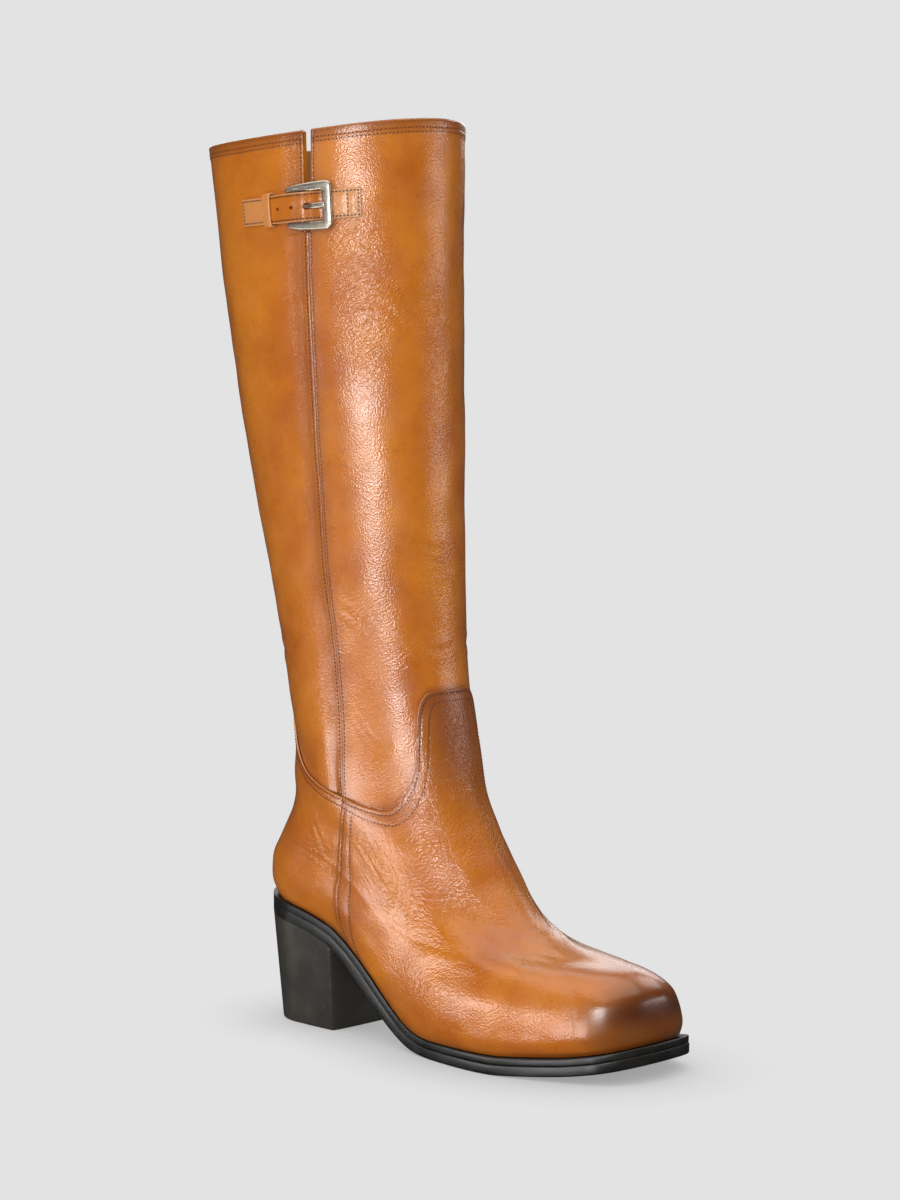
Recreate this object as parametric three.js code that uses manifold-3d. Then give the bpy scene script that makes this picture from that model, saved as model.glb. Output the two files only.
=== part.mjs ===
// A right-foot knee-high boot on a block heel. Millimetres, +Z up.
// +X runs from the heel to the toe, +Y to the inner (medial) side of the leg, and the origin is on
// the floor under the middle of the boot.
import * as THREE from "three";
import { mergeVertices } from "three/addons/utils/BufferGeometryUtils.js";
import Module from "manifold-3d";

const wasm = await Module();
wasm.setup();

// ---- Driving dimensions --------------------------------------------------------------------
const GAP = 0.3; // clearance between pieces that touch
const RIM_GAP = 0.55; // clearance where one curved edge meets another
const WALL_SHAFT = 2.2; // leather and lining of the leg
const WALL_UPPER = 2.4; // leather, stiffener and lining of the foot
const WALL_LAP = 1.3; // the foot piece where it lies over the leg piece
const OUTSOLE_THICK = 5;
const WELT_THICK = 3.6;
const INSOLE_THICK = 3;
const FOOT_COLUMNS = 80; // points round each section of the foot and sole
const LEG_COLUMNS = 52; // points round each section of the leg

const SOLE_PROFILE = [
  { x: -5, z: 57.5 },
  { x: 25, z: 53 },
  { x: 52, z: 46 },
  { x: 62, z: 40.3 },
  { x: 72, z: 33 },
  { x: 82, z: 24.5 },
  { x: 92, z: 15.8 },
  { x: 100, z: 9.6 },
  { x: 108, z: 4.8 },
  { x: 116, z: 1.8 },
  { x: 124, z: 0.4 },
  { x: 132, z: 0 },
  { x: 170, z: 0 },
  { x: 190, z: 1.2 },
  { x: 209, z: 3 },
  { x: 227, z: 6 },
  { x: 241, z: 9.5 },
];
// How far the foot's centre line swings to the inner side in front of the heel.
const SWING = [
  { x: -60, y: 0 },
  { x: 80, y: 0 },
  { x: 115, y: 1 },
  { x: 160, y: 5 },
  { x: 200, y: 10 },
  { x: 250, y: 16 },
];

// Plan outlines, with the same columns as the sections: the sole, and the heel block's two ends.
const SOLE_OUTLINE = {
  backX: -5, frontX: 240, heel: 30.5, waistLat: 33, waistMed: 23, ballLat: 45, ballMed: 40,
  toeLat: 35, toeMed: 36, capBack: 30, capFront: 32, square: 2.5,
};
const HEEL_TOP = {
  backX: -4.5, frontX: 57, heel: 29.5, waistLat: 29.5, waistMed: 28, ballLat: 29, ballMed: 27,
  toeLat: 29, toeMed: 26, capBack: 29, capFront: 3, square: 3,
};
const HEEL_FOOT = {
  backX: 1, frontX: 54, heel: 26.5, waistLat: 26, waistMed: 25, ballLat: 26.5, ballMed: 25,
  toeLat: 26.5, toeMed: 25, capBack: 24, capFront: 3, square: 3,
};

// Inside form of the boot, a row for each section from the sole's edge to the collar. Level is the
// distance up the side. back and front are the ends on the centre line, bow bends the line between
// them, follow is how much of the sole's curve the section keeps, and the half widths are lateral
// and medial at heel, waist, ball and toe. Round ends take up capBack and capFront of the length,
// and square sets the toe's corner.
const SECTIONS = [
  {
    level: 0, backX: -1, backZ: 66.3, frontX: 233.5, frontZ: 17.2, bow: 1, follow: 1,
    heel: 26.5, waistLat: 29.5, waistMed: 20, ballLat: 40, ballMed: 35.5, toeLat: 31.5, toeMed: 31,
    capBack: 28, capFront: 31, square: 2.5,
  },
  {
    level: 9, backX: -3.5, backZ: 75, frontX: 235.5, frontZ: 26, bow: 1, follow: 0.97,
    heel: 29, waistLat: 32.5, waistMed: 24, ballLat: 43.2, ballMed: 38, toeLat: 33.5, toeMed: 33,
    capBack: 30, capFront: 32, square: 2.5,
  },
  {
    level: 20, backX: -2, backZ: 85, frontX: 234, frontZ: 38.5, bow: 1, follow: 0.88,
    heel: 30.5, waistLat: 34, waistMed: 28, ballLat: 42.5, ballMed: 37, toeLat: 31, toeMed: 31,
    capBack: 30, capFront: 34, square: 2.5,
  },
  {
    level: 31, backX: 3, backZ: 95, frontX: 222.5, frontZ: 47.5, bow: 1, follow: 0.72,
    heel: 31, waistLat: 34, waistMed: 30, ballLat: 37.5, ballMed: 33, toeLat: 26, toeMed: 26,
    capBack: 31, capFront: 38, square: 2.3,
  },
  {
    level: 42, backX: 8.5, backZ: 105, frontX: 195, frontZ: 51, bow: 1, follow: 0.55,
    heel: 31.5, waistLat: 34, waistMed: 31, ballLat: 33, ballMed: 30, toeLat: 22, toeMed: 22,
    capBack: 33, capFront: 44, square: 2.1,
  },
  {
    level: 54, backX: 13, backZ: 115, frontX: 170, frontZ: 61, bow: 1, follow: 0.4,
    heel: 32, waistLat: 34.5, waistMed: 32.5, ballLat: 31, ballMed: 29.5, toeLat: 24, toeMed: 24,
    capBack: 35, capFront: 48, square: 2,
  },
  {
    level: 68, backX: 15, backZ: 127, frontX: 151, frontZ: 79, bow: 1, follow: 0.25,
    heel: 32.5, waistLat: 35, waistMed: 34, ballLat: 31, ballMed: 30, toeLat: 27, toeMed: 27,
    capBack: 38, capFront: 50, square: 2,
  },
  {
    level: 84, backX: 15, backZ: 139, frontX: 134, frontZ: 101, bow: 1, follow: 0.12,
    heel: 33, waistLat: 36, waistMed: 35.5, ballLat: 33, ballMed: 32, toeLat: 30, toeMed: 30,
    capBack: 44, capFront: 52, square: 2,
  },
  {
    level: 104, backX: 14.5, backZ: 151, frontX: 120, frontZ: 127, bow: 1, follow: 0.04,
    heel: 35, waistLat: 37, waistMed: 37, ballLat: 35.5, ballMed: 35, toeLat: 34, toeMed: 34,
    capBack: 52, capFront: 54, square: 2,
  },
  {
    level: 130, backX: 12, backZ: 168, frontX: 112, frontZ: 158, bow: 1, follow: 0,
    heel: 37.5, waistLat: 38.5, waistMed: 38.5, ballLat: 38, ballMed: 38, toeLat: 37.5, toeMed: 37.5,
    capBack: 54, capFront: 54, square: 2,
  },
  {
    level: 165, backX: 8, backZ: 197, frontX: 106.5, frontZ: 193, bow: 1, follow: 0,
    heel: 40, waistLat: 40, waistMed: 40, ballLat: 40, ballMed: 40, toeLat: 40, toeMed: 40,
    capBack: 54, capFront: 54, square: 2,
  },
  {
    level: 230, backX: -5, backZ: 259, frontX: 102, frontZ: 257, bow: 1.2, follow: 0,
    heel: 45.5, waistLat: 45.5, waistMed: 45.5, ballLat: 45.5, ballMed: 45.5, toeLat: 45.5, toeMed: 45.5,
    capBack: 58, capFront: 58, square: 2,
  },
  {
    level: 320, backX: -24, backZ: 347, frontX: 100, frontZ: 350, bow: 1.5, follow: 0,
    heel: 51.5, waistLat: 51.5, waistMed: 51.5, ballLat: 51.5, ballMed: 51.5, toeLat: 51.5, toeMed: 51.5,
    capBack: 66, capFront: 66, square: 2,
  },
  {
    level: 428, backX: -40, backZ: 448, frontX: 99, frontZ: 460.5, bow: 2, follow: 0,
    heel: 55.5, waistLat: 55.5, waistMed: 55.5, ballLat: 55.5, ballMed: 55.5, toeLat: 55.5, toeMed: 55.5,
    capBack: 72, capFront: 72, square: 2,
  },
];

// Top edge of the foot piece over the leg piece, the same on both sides: angle round from the back.
const LAP_LINE = [
  { angle: 0, level: 128 },
  { angle: 16, level: 125 },
  { angle: 30, level: 115 },
  { angle: 42, level: 103 },
  { angle: 53, level: 93 },
  { angle: 63, level: 88 },
  { angle: 77, level: 86.4 },
  { angle: 90, level: 87.5 },
  { angle: 103, level: 88.5 },
  { angle: 116, level: 90.5 },
  { angle: 127, level: 96.5 },
  { angle: 136, level: 104 },
  { angle: 144, level: 114 },
  { angle: 148, level: 125 },
  { angle: 151, level: 136 },
  { angle: 154.5, level: 143.5 },
  { angle: 161, level: 148.5 },
  { angle: 170, level: 149.6 },
  { angle: 180, level: 149.8 },
];
const SHAFT_FOOT_LEVEL = 78; // bottom edge of the leg piece, under the foot piece

// Slit in the collar on the lateral side, open at the top.
const SLIT = { x: 62.3, bottomZ: 404, bottomWidth: 2.6, topZ: 470, topWidth: 4.4 };

// Strap line round the lateral side. s runs along it toward the toe, w up and h out of the leg.
const STRAP_LEVEL = 389.5;
const STRAP_ZERO_X = 72.5; // where s is 0, under the buckle's front bar
const STRAP = { back: -37, front: 16, half: 7.2, thick: 1.5 };
const STRAP_LIFT = [
  { s: -37, h: 2.1 },
  { s: -29, h: 2.1 },
  { s: -21, h: 4.3 },
  { s: -16, h: 5.4 },
  { s: -12, h: 5.4 },
  { s: -8, h: 3.2 },
  { s: -3, h: 0.4 },
  { s: 0, h: 0.3 },
  { s: 16, h: 0.3 },
];
const STRAP_HOLES = { s: [-25.6, -16.8], radius: 0.9 };
const PRONG_SLOT = { back: -12.8, front: -4.6, half: 1.6 };
const BUCKLE_TAB = { back: -52, front: -15.6, half: 6.9, thick: 1.5 };
const KEEPER = { back: -34, front: -30, half: 9, height: 5.2, leather: 1.2 };
const BUCKLE = { barFront: 2.3, barBack: -2.2, half: 12.2, opening: 7.6, armEnd: -21, low: 2.3, thick: 2.7 };
const HINGE = { s: -13, width: 2, low: 2.3, thick: 1.4 };
const PRONG = { half: 1.2, leather: 0.7, tip: 0.6 };

// ---- Smooth curves through tables ----------------------------------------------------------
// A monotone cubic through the named column of a table, so that no wave appears between rows.
function smoothColumn(table, key, column) {
  const t = table.map((row) => row[key]);
  const v = table.map((row) => row[column]);
  const n = t.length;
  const step = (i) => t[i + 1] - t[i];
  const rise = (i) => (v[i + 1] - v[i]) / step(i);
  const slope = v.map((_, i) => {
    if (i === 0) return rise(0);
    if (i === n - 1) return rise(n - 2);
    const a = rise(i - 1);
    const b = rise(i);
    if (a * b <= 0) return 0;
    const wa = 2 * step(i) + step(i - 1);
    const wb = step(i) + 2 * step(i - 1);
    return (wa + wb) / (wa / a + wb / b);
  });
  return (at) => {
    const p = Math.min(Math.max(at, t[0]), t[n - 1]);
    let i = 0;
    while (i < n - 2 && p > t[i + 1]) i += 1;
    const h = step(i);
    const u = (p - t[i]) / h;
    const u2 = u * u;
    const u3 = u2 * u;
    return (
      v[i] * (2 * u3 - 3 * u2 + 1) +
      slope[i] * h * (u3 - 2 * u2 + u) +
      v[i + 1] * (3 * u2 - 2 * u3) +
      slope[i + 1] * h * (u3 - u2)
    );
  };
}

function smoothTable(table, key) {
  const names = Object.keys(table[0]).filter((name) => name !== key);
  const curves = names.map((name) => smoothColumn(table, key, name));
  return (at) => Object.fromEntries(names.map((name, i) => [name, curves[i](at)]));
}

const soleBottom = smoothColumn(SOLE_PROFILE, "x", "z");
const soleSlope = (x) => (soleBottom(x + 1) - soleBottom(x - 1)) / 2;

// Height of the line that runs a distance above the sole's underside, measured square to it.
const aboveSole = (x, distance) => soleBottom(x) + distance * Math.hypot(1, soleSlope(x));
const soleTop = (x) => aboveSole(x, OUTSOLE_THICK + WELT_THICK + GAP + RIM_GAP);
const sectionAt = smoothTable(SECTIONS, "level");
const TOP_LEVEL = SECTIONS[SECTIONS.length - 1].level;
const swingAt = smoothColumn(SWING, "x", "y");

// ---- The boot's form -----------------------------------------------------------------------
const HEEL_AT = 0.1; // where the width columns apply, as shares of a section's length
const WAIST_AT = 0.42;
const BALL_AT = 0.72;
const TOE_AT = 0.92;

// Half width of a section at share t of its length on one side, before its ends are rounded.
function sideWidth(section, lateral, t) {
  const widths = [
    { t: HEEL_AT, half: section.heel },
    { t: WAIST_AT, half: lateral ? section.waistLat : section.waistMed },
    { t: BALL_AT, half: lateral ? section.ballLat : section.ballMed },
    { t: TOE_AT, half: lateral ? section.toeLat : section.toeMed },
  ];
  return smoothColumn(widths, "t", "half")(t);
}

// How far an end is rounded off: 1 inside the cap's length, falling to 0 at the end itself.
function endRound(distance, cap, power) {
  if (distance >= cap) return 1;
  const inward = (cap - Math.max(distance, 0)) / cap;
  return Math.max(1 - inward ** power, 0) ** (1 / power);
}

// A point of the form. Angle 0 is the centre of the back, 90 degrees the lateral side, 180 the toe.
function formPoint(angle, level) {
  const s = sectionAt(level);
  const t = (1 - Math.cos(angle)) / 2;
  const lateral = Math.sin(angle) >= 0;
  const length = s.frontX - s.backX;
  const x = s.backX + length * t;
  const back = endRound(x - s.backX, Math.min(s.capBack, length / 2), 2);
  const front = endRound(s.frontX - x, Math.min(s.capFront, length / 2), s.square);
  const half = sideWidth(s, lateral, t) * back * front;
  const chord = s.backZ + (s.frontZ - s.backZ) * t ** s.bow;
  const soleChord = soleTop(s.backX) * (1 - t) + soleTop(s.frontX) * t;
  const z = chord + s.follow * (soleTop(x) - soleChord);
  const swing = swingAt(x) * Math.max(1 - level / 90, 0);
  return new THREE.Vector3(x, swing + (lateral ? -half : half), z);
}

// The outward direction at a point of the form, level with the floor at the sole's edge.
function formNormal(angle, level) {
  const e = 0.01;
  const around = formPoint(angle + e, level).sub(formPoint(angle - e, level));
  const low = Math.max(level - 1, 0);
  const high = Math.min(level + 1, TOP_LEVEL);
  const up = formPoint(angle, high).sub(formPoint(angle, low));
  const n = around.cross(up).normalize();
  n.z *= Math.min(level / 12, 1);
  return n.normalize();
}

// A point at a distance out from the form. Next to the sole it keeps to the sole's curve.
function offsetPoint(angle, level, distance) {
  const point = formPoint(angle, level);
  const before = soleTop(point.x);
  point.addScaledVector(formNormal(angle, level), distance);
  point.z += (soleTop(point.x) - before) * Math.max(1 - level / 12, 0);
  return point;
}

const anglesRound = (columns) => Array.from({ length: columns }, (_, i) => (i * 2 * Math.PI) / columns);

// Goes from one value to another as the level passes between two levels.
function ramp(level, fromLevel, toLevel, from, to) {
  const u = Math.min(Math.max((level - fromLevel) / (toLevel - fromLevel), 0), 1);
  return from + (to - from) * u * u * (3 - 2 * u);
}

// ---- Closed meshes -------------------------------------------------------------------------
function meshFrom(points, faces) {
  const geometry = new THREE.BufferGeometry();
  const flat = new Float32Array(points.flatMap((p) => [p.x, p.y, p.z]));
  geometry.setAttribute("position", new THREE.BufferAttribute(flat, 3));
  geometry.setIndex(faces.flat());
  return geometry;
}

// Faces of the bands between neighbouring rings of n points.
function bandFaces(ringCount, n, closed) {
  const faces = [];
  const bands = closed ? ringCount : ringCount - 1;
  for (let i = 0; i < bands; i += 1) {
    const next = (i + 1) % ringCount;
    for (let j = 0; j < n; j += 1) {
      const k = (j + 1) % n;
      const [a, b, c, d] = [i * n + j, i * n + k, next * n + k, next * n + j];
      faces.push([a, b, c], [a, c, d]);
    }
  }
  return faces;
}

// A tube wall: outer rings going up, inner rings coming back down, joined at both rims.
function wallGeometry(outer, inner) {
  const rings = [...outer, ...inner.slice().reverse()];
  return meshFrom(rings.flat(), bandFaces(rings.length, rings[0].length, true));
}

// A solid from rings going up. Its two end faces run straight across from side to side.
function stackGeometry(rings) {
  const n = rings[0].length;
  const faces = bandFaces(rings.length, n, false);
  const top = (rings.length - 1) * n;
  for (let j = 0; j < n / 2; j += 1) {
    const [near, nearNext, far, farNext] = [j, j + 1, (n - j) % n, n - j - 1];
    if (j > 0) {
      faces.push([near, far, nearNext]);
      faces.push([top + near, top + nearNext, top + far]);
    }
    if (j < n / 2 - 1) {
      faces.push([nearNext, far, farNext]);
      faces.push([top + nearNext, top + farNext, top + far]);
    }
  }
  return meshFrom(rings.flat(), faces);
}

function toSolid(geometry) {
  const bare = geometry.clone();
  ["normal", "uv"].forEach((name) => bare.deleteAttribute(name));
  const merged = mergeVertices(bare, 1e-4);
  return new wasm.Manifold(
    new wasm.Mesh({
      numProp: 3,
      vertProperties: new Float32Array(merged.attributes.position.array),
      triVerts: new Uint32Array(merged.index.array),
    }),
  );
}

function toGeometry(solid) {
  const mesh = solid.getMesh();
  const geometry = new THREE.BufferGeometry();
  geometry.setAttribute("position", new THREE.BufferAttribute(mesh.vertProperties, 3));
  geometry.setIndex(new THREE.BufferAttribute(mesh.triVerts, 1));
  return geometry;
}

const boot = new THREE.Group();

function add(name, geometry, material) {
  const mesh = new THREE.Mesh(geometry, material);
  mesh.name = name;
  boot.add(mesh);
}

const tan = new THREE.MeshStandardMaterial({ color: 0xb86a1e, roughness: 0.35, metalness: 0 });
const black = new THREE.MeshStandardMaterial({ color: 0x22201d, roughness: 0.4, metalness: 0 });
const lining = new THREE.MeshStandardMaterial({ color: 0xa9794c, roughness: 0.7, metalness: 0 });
const nickel = new THREE.MeshStandardMaterial({ color: 0xc9c5bc, roughness: 0.3, metalness: 1 });

// ---- Sole unit -----------------------------------------------------------------------------
// A ring in plan, inset from the given outline, with z from a function of x.
function planRing(outline, inset, heightAt) {
  return anglesRound(FOOT_COLUMNS).map((angle) => {
    const t = (1 - Math.cos(angle)) / 2;
    const lateral = Math.sin(angle) >= 0;
    const backX = outline.backX + inset;
    const frontX = outline.frontX - inset;
    const x = backX + (frontX - backX) * t;
    const back = endRound(x - backX, outline.capBack - inset, 2);
    const front = endRound(frontX - x, outline.capFront - inset, outline.square);
    const half = Math.max(sideWidth(outline, lateral, t) - inset, 0) * back * front;
    return new THREE.Vector3(x, swingAt(x) + (lateral ? -half : half), heightAt(x));
  });
}

const soleLayer = (inset, distances) =>
  stackGeometry(distances.map((d) => planRing(SOLE_OUTLINE, inset, (x) => aboveSole(x, d))));
const weltBottom = OUTSOLE_THICK + GAP;
add("outsole", soleLayer(0, [0, OUTSOLE_THICK]), black);
add("welt", soleLayer(0.3, [weltBottom, weltBottom + WELT_THICK]), black);

// The heel block tapers from the seat under the outsole to the floor.
function heelRing(share) {
  const between = (key) => HEEL_FOOT[key] + (HEEL_TOP[key] - HEEL_FOOT[key]) * share;
  const outline = Object.fromEntries(Object.keys(HEEL_TOP).map((key) => [key, between(key)]));
  return planRing(outline, 0, (x) => share * (soleBottom(x) - RIM_GAP));
}
add("heel", stackGeometry([0, 0.5, 1].map(heelRing)), black);

// The insole lies on the welt inside the foot piece.
const insoleRing = (height) =>
  anglesRound(FOOT_COLUMNS).map((angle) => {
    const p = offsetPoint(angle, 0, -0.5);
    return new THREE.Vector3(p.x, p.y, soleTop(p.x) + height);
  });
add("insole", stackGeometry([0, INSOLE_THICK].map(insoleRing)), lining);

// ---- Foot piece ----------------------------------------------------------------------------
const upperOuter = (level) =>
  ramp(level, 58, 80, WALL_UPPER, WALL_SHAFT + RIM_GAP + WALL_LAP);
const upperInner = (level) => ramp(level, 69, 75, 0, WALL_SHAFT + RIM_GAP);
const UPPER_OUTER_LEVELS = [0, 4, 10, 17, 24, 31, 39, 48, 58, 69, 80, 94, 110, 130, 156];
const UPPER_INNER_LEVELS = [0, 10, 22, 34, 46, 58, 69, 75, 84, 94, 104, 118, 134, 156];

function footWall() {
  const angles = anglesRound(FOOT_COLUMNS);
  const ring = (level, distance) => angles.map((angle) => offsetPoint(angle, level, distance));
  return wallGeometry(
    UPPER_OUTER_LEVELS.map((level) => ring(level, upperOuter(level))),
    UPPER_INNER_LEVELS.map((level) => ring(level, upperInner(level))),
  );
}

// Everything above the lap line, to be cut off the foot piece.
function aboveLap() {
  const lapAt = smoothColumn(LAP_LINE, "angle", "level");
  const angles = anglesRound(128);
  const ring = (share, distance) =>
    angles.map((angle) => {
      const degrees = THREE.MathUtils.radToDeg(Math.min(angle, 2 * Math.PI - angle));
      const low = lapAt(degrees);
      return offsetPoint(angle, low + (175 - low) * share, distance);
    });
  const shares = [0, 0.35, 0.7, 1];
  return wallGeometry(
    shares.map((share) => ring(share, 7)),
    shares.map((share) => ring(share, -1)),
  );
}
add("upper", toGeometry(toSolid(footWall()).subtract(toSolid(aboveLap()))), tan);

// ---- Leg piece -----------------------------------------------------------------------------
const SHAFT_OUTER_LEVELS = [84, 94, 104, 118, 134, 156, 182, 220, 265, 310, 350, 390, TOP_LEVEL];
const SHAFT_INNER_LEVELS = [90, 104, 122, 142, 166, 200, 250, 310, 370, TOP_LEVEL];

function legWall() {
  const angles = anglesRound(LEG_COLUMNS);
  const ring = (level, distance) => angles.map((angle) => offsetPoint(angle, level, distance));
  return wallGeometry(
    [SHAFT_FOOT_LEVEL, ...SHAFT_OUTER_LEVELS].map((level) => ring(level, WALL_SHAFT)),
    [SHAFT_FOOT_LEVEL, ...SHAFT_INNER_LEVELS].map((level) => ring(level, 0)),
  );
}

function slitWedge() {
  const outline = new THREE.Shape();
  outline.moveTo(SLIT.x - SLIT.topWidth / 2, SLIT.topZ);
  outline.lineTo(SLIT.x - SLIT.bottomWidth / 2, SLIT.bottomZ);
  outline.lineTo(SLIT.x + SLIT.bottomWidth / 2, SLIT.bottomZ);
  outline.lineTo(SLIT.x + SLIT.topWidth / 2, SLIT.topZ);
  const wedge = new THREE.ExtrudeGeometry(outline, { depth: 50, bevelEnabled: false });
  wedge.rotateX(Math.PI / 2);
  wedge.translate(0, -25, 0);
  return wedge;
}
add("shaft", toGeometry(toSolid(legWall()).subtract(toSolid(slitWedge()))), tan);

// ---- Strap and buckle ----------------------------------------------------------------------
// The strap line's length from its zero, at each degree round the leg.
function strapLine() {
  const rows = [];
  let length = 0;
  let last = null;
  for (let degrees = 50; degrees <= 170; degrees += 1) {
    const angle = THREE.MathUtils.degToRad(degrees);
    const point = offsetPoint(angle, STRAP_LEVEL, WALL_SHAFT);
    if (last) length += point.distanceTo(last);
    last = point;
    rows.push({ angle, x: point.x, s: length });
  }
  const zero = smoothColumn(rows, "x", "s")(STRAP_ZERO_X);
  return rows.map((row) => ({ ...row, s: row.s - zero }));
}
const strapAngle = smoothColumn(strapLine(), "s", "angle");
const strapLift = smoothColumn(STRAP_LIFT, "s", "h");

// Bends a flat solid, drawn in s, w and h, round the leg. The strap also rises over the buckle.
function onStrapLine(solid, liftAt, piece) {
  return toGeometry(
    solid.refineToLength(piece).warp((v) => {
      const [s, w, h] = v;
      const p = offsetPoint(strapAngle(s), STRAP_LEVEL + w, WALL_SHAFT + h + liftAt(s));
      v[0] = p.x;
      v[1] = p.y;
      v[2] = p.z;
    }),
  );
}
const flat = () => 0;

const slab = (back, front, half, low, thick) =>
  wasm.Manifold.cube([front - back, 2 * half, thick]).translate([back, -half, low]);

function strapFlat() {
  const holes = STRAP_HOLES.s.map((s) =>
    wasm.Manifold.cylinder(4, STRAP_HOLES.radius, STRAP_HOLES.radius, 10).translate([s, 0, -1]),
  );
  const slot = slab(PRONG_SLOT.back, PRONG_SLOT.front, PRONG_SLOT.half, -1, 4);
  const band = slab(STRAP.back, STRAP.front, STRAP.half, 0, STRAP.thick);
  return [...holes, slot].reduce((solid, hole) => solid.subtract(hole), band);
}
add("strap", onStrapLine(strapFlat(), strapLift, 4.5), tan);

const tab = slab(BUCKLE_TAB.back, BUCKLE_TAB.front, BUCKLE_TAB.half, GAP, BUCKLE_TAB.thick);
add("buckle_tab", onStrapLine(tab, flat, 5), tan);

// The keeper is a loop of leather over the strap, its two feet on the leg.
function keeperFlat() {
  const { back, front, half, height, leather } = KEEPER;
  const outer = slab(back, front, half, GAP, height - GAP);
  return outer.subtract(slab(back - 1, front + 1, half - leather, GAP - 1, height - leather - GAP + 1));
}
add("keeper", onStrapLine(keeperFlat(), flat, 4), tan);

// A three-sided frame with round corners. Its arms narrow toward the back and carry the hinge bar.
function buckleFlat() {
  const { barFront, barBack, half, opening, armEnd, low, thick } = BUCKLE;
  const bevel = 0.6;
  const outline = new THREE.Shape();
  const corner = 2.6;
  outline.moveTo(armEnd + bevel, opening + bevel);
  outline.quadraticCurveTo(armEnd + bevel, half - 2.6, armEnd + 3, half - 2.2 - bevel);
  outline.quadraticCurveTo(-10, half - bevel, -3, half - bevel);
  outline.lineTo(barFront - corner, half - bevel);
  outline.quadraticCurveTo(barFront - bevel, half - bevel, barFront - bevel, half - corner);
  outline.lineTo(barFront - bevel, corner - half);
  outline.quadraticCurveTo(barFront - bevel, bevel - half, barFront - corner, bevel - half);
  outline.lineTo(-3, bevel - half);
  outline.quadraticCurveTo(-10, bevel - half, armEnd + 3, 2.2 + bevel - half);
  outline.quadraticCurveTo(armEnd + bevel, 2.6 - half, armEnd + bevel, -opening - bevel);
  outline.lineTo(barBack + bevel, -opening - bevel);
  outline.lineTo(barBack + bevel, opening + bevel);
  const frame = new THREE.ExtrudeGeometry(outline, {
    depth: thick - 2 * bevel,
    bevelThickness: bevel,
    bevelSize: bevel,
    bevelSegments: 2,
    curveSegments: 5,
  });
  frame.translate(0, 0, low + bevel);
  const { s, width, thick: barThick } = HINGE;
  const bar = slab(s - width / 2, s + width / 2, opening + 1.4, HINGE.low, barThick);
  return toSolid(frame).add(bar);
}
add("buckle_frame", onStrapLine(buckleFlat(), flat, 9), nickel);

// The prong hooks over the hinge bar, comes up through the strap and rests on the front bar.
function prongFlat() {
  const { half, leather: metal, tip } = PRONG;
  const top = HINGE.low + HINGE.thick + GAP;
  const back = HINGE.s - HINGE.width / 2 - GAP;
  const front = HINGE.s + HINGE.width / 2 + GAP;
  const rest = BUCKLE.low + BUCKLE.thick + GAP;
  const profile = new THREE.Shape();
  profile.moveTo(back - metal, HINGE.low);
  profile.lineTo(back, HINGE.low);
  profile.lineTo(back, top);
  profile.lineTo(front, top);
  profile.lineTo(front, HINGE.low);
  profile.lineTo(front + metal, HINGE.low);
  profile.lineTo(front + metal, top - 0.4);
  profile.lineTo(BUCKLE.barBack - 2.4, rest - 0.5);
  profile.lineTo(BUCKLE.barBack - 0.6, rest);
  profile.lineTo(tip, rest);
  profile.lineTo(tip, rest + 0.8);
  profile.lineTo(tip - 0.7, rest + 1.4);
  profile.lineTo(BUCKLE.barBack - 2.4, rest + 1.3);
  profile.lineTo(front + metal, top + metal);
  profile.lineTo(back - metal, top + metal);
  const blade = new THREE.ExtrudeGeometry(profile, { depth: 2 * half, bevelEnabled: false });
  blade.rotateX(Math.PI / 2);
  blade.translate(0, half, 0);
  return toSolid(blade);
}
add("buckle_prong", onStrapLine(prongFlat(), flat, 5), nickel);

// ---- Origin under the middle of the boot ---------------------------------------------------
const box = new THREE.Box3().setFromObject(boot);
const middle = box.getCenter(new THREE.Vector3());
boot.children.forEach((mesh) => mesh.geometry.translate(-middle.x, -middle.y, -box.min.z));

export default boot;
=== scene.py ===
"""Looks of a right-foot knee-high boot on a block heel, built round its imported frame.

Sizes are in millimetres in the boot's own axes: x runs from the heel to the toe, y to the inner side
of the leg and z up from the floor. A place on the boot's form is an angle round from the back, with
the lateral side at 90 degrees and the toe at 180, and a level up the side. Every mesh is made in
metres about the frame's origin.
"""

from __future__ import annotations

import logging
import math
import sys
from collections.abc import Sequence
from dataclasses import dataclass, field
from enum import Enum

import bpy
import numpy as np
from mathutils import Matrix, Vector
from mathutils.kdtree import KDTree

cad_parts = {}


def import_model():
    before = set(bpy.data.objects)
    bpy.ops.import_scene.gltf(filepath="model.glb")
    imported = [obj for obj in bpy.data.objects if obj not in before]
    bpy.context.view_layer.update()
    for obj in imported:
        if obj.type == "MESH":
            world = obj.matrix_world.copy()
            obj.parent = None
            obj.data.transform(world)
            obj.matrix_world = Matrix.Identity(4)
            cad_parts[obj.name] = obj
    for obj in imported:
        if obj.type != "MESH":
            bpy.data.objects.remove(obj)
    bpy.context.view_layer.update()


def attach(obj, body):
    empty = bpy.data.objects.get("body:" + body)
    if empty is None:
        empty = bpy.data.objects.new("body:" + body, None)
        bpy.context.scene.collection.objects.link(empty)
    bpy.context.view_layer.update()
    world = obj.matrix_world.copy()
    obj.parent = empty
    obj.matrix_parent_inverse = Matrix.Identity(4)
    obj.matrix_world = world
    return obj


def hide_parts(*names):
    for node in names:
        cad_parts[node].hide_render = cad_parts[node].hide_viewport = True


Array = np.ndarray
Material = bpy.types.Material
Piece = bpy.types.Object
Socket = bpy.types.NodeSocket
Tree = bpy.types.NodeTree
LOG = logging.getLogger("boot")
MM = 0.001
ORIGIN = np.array([98.914, -1.882, 0.0])  # the frame's origin in the boot's own axes
PAPER_GREY = "#E3E3E3"
TURN = 2.0 * math.pi

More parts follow.
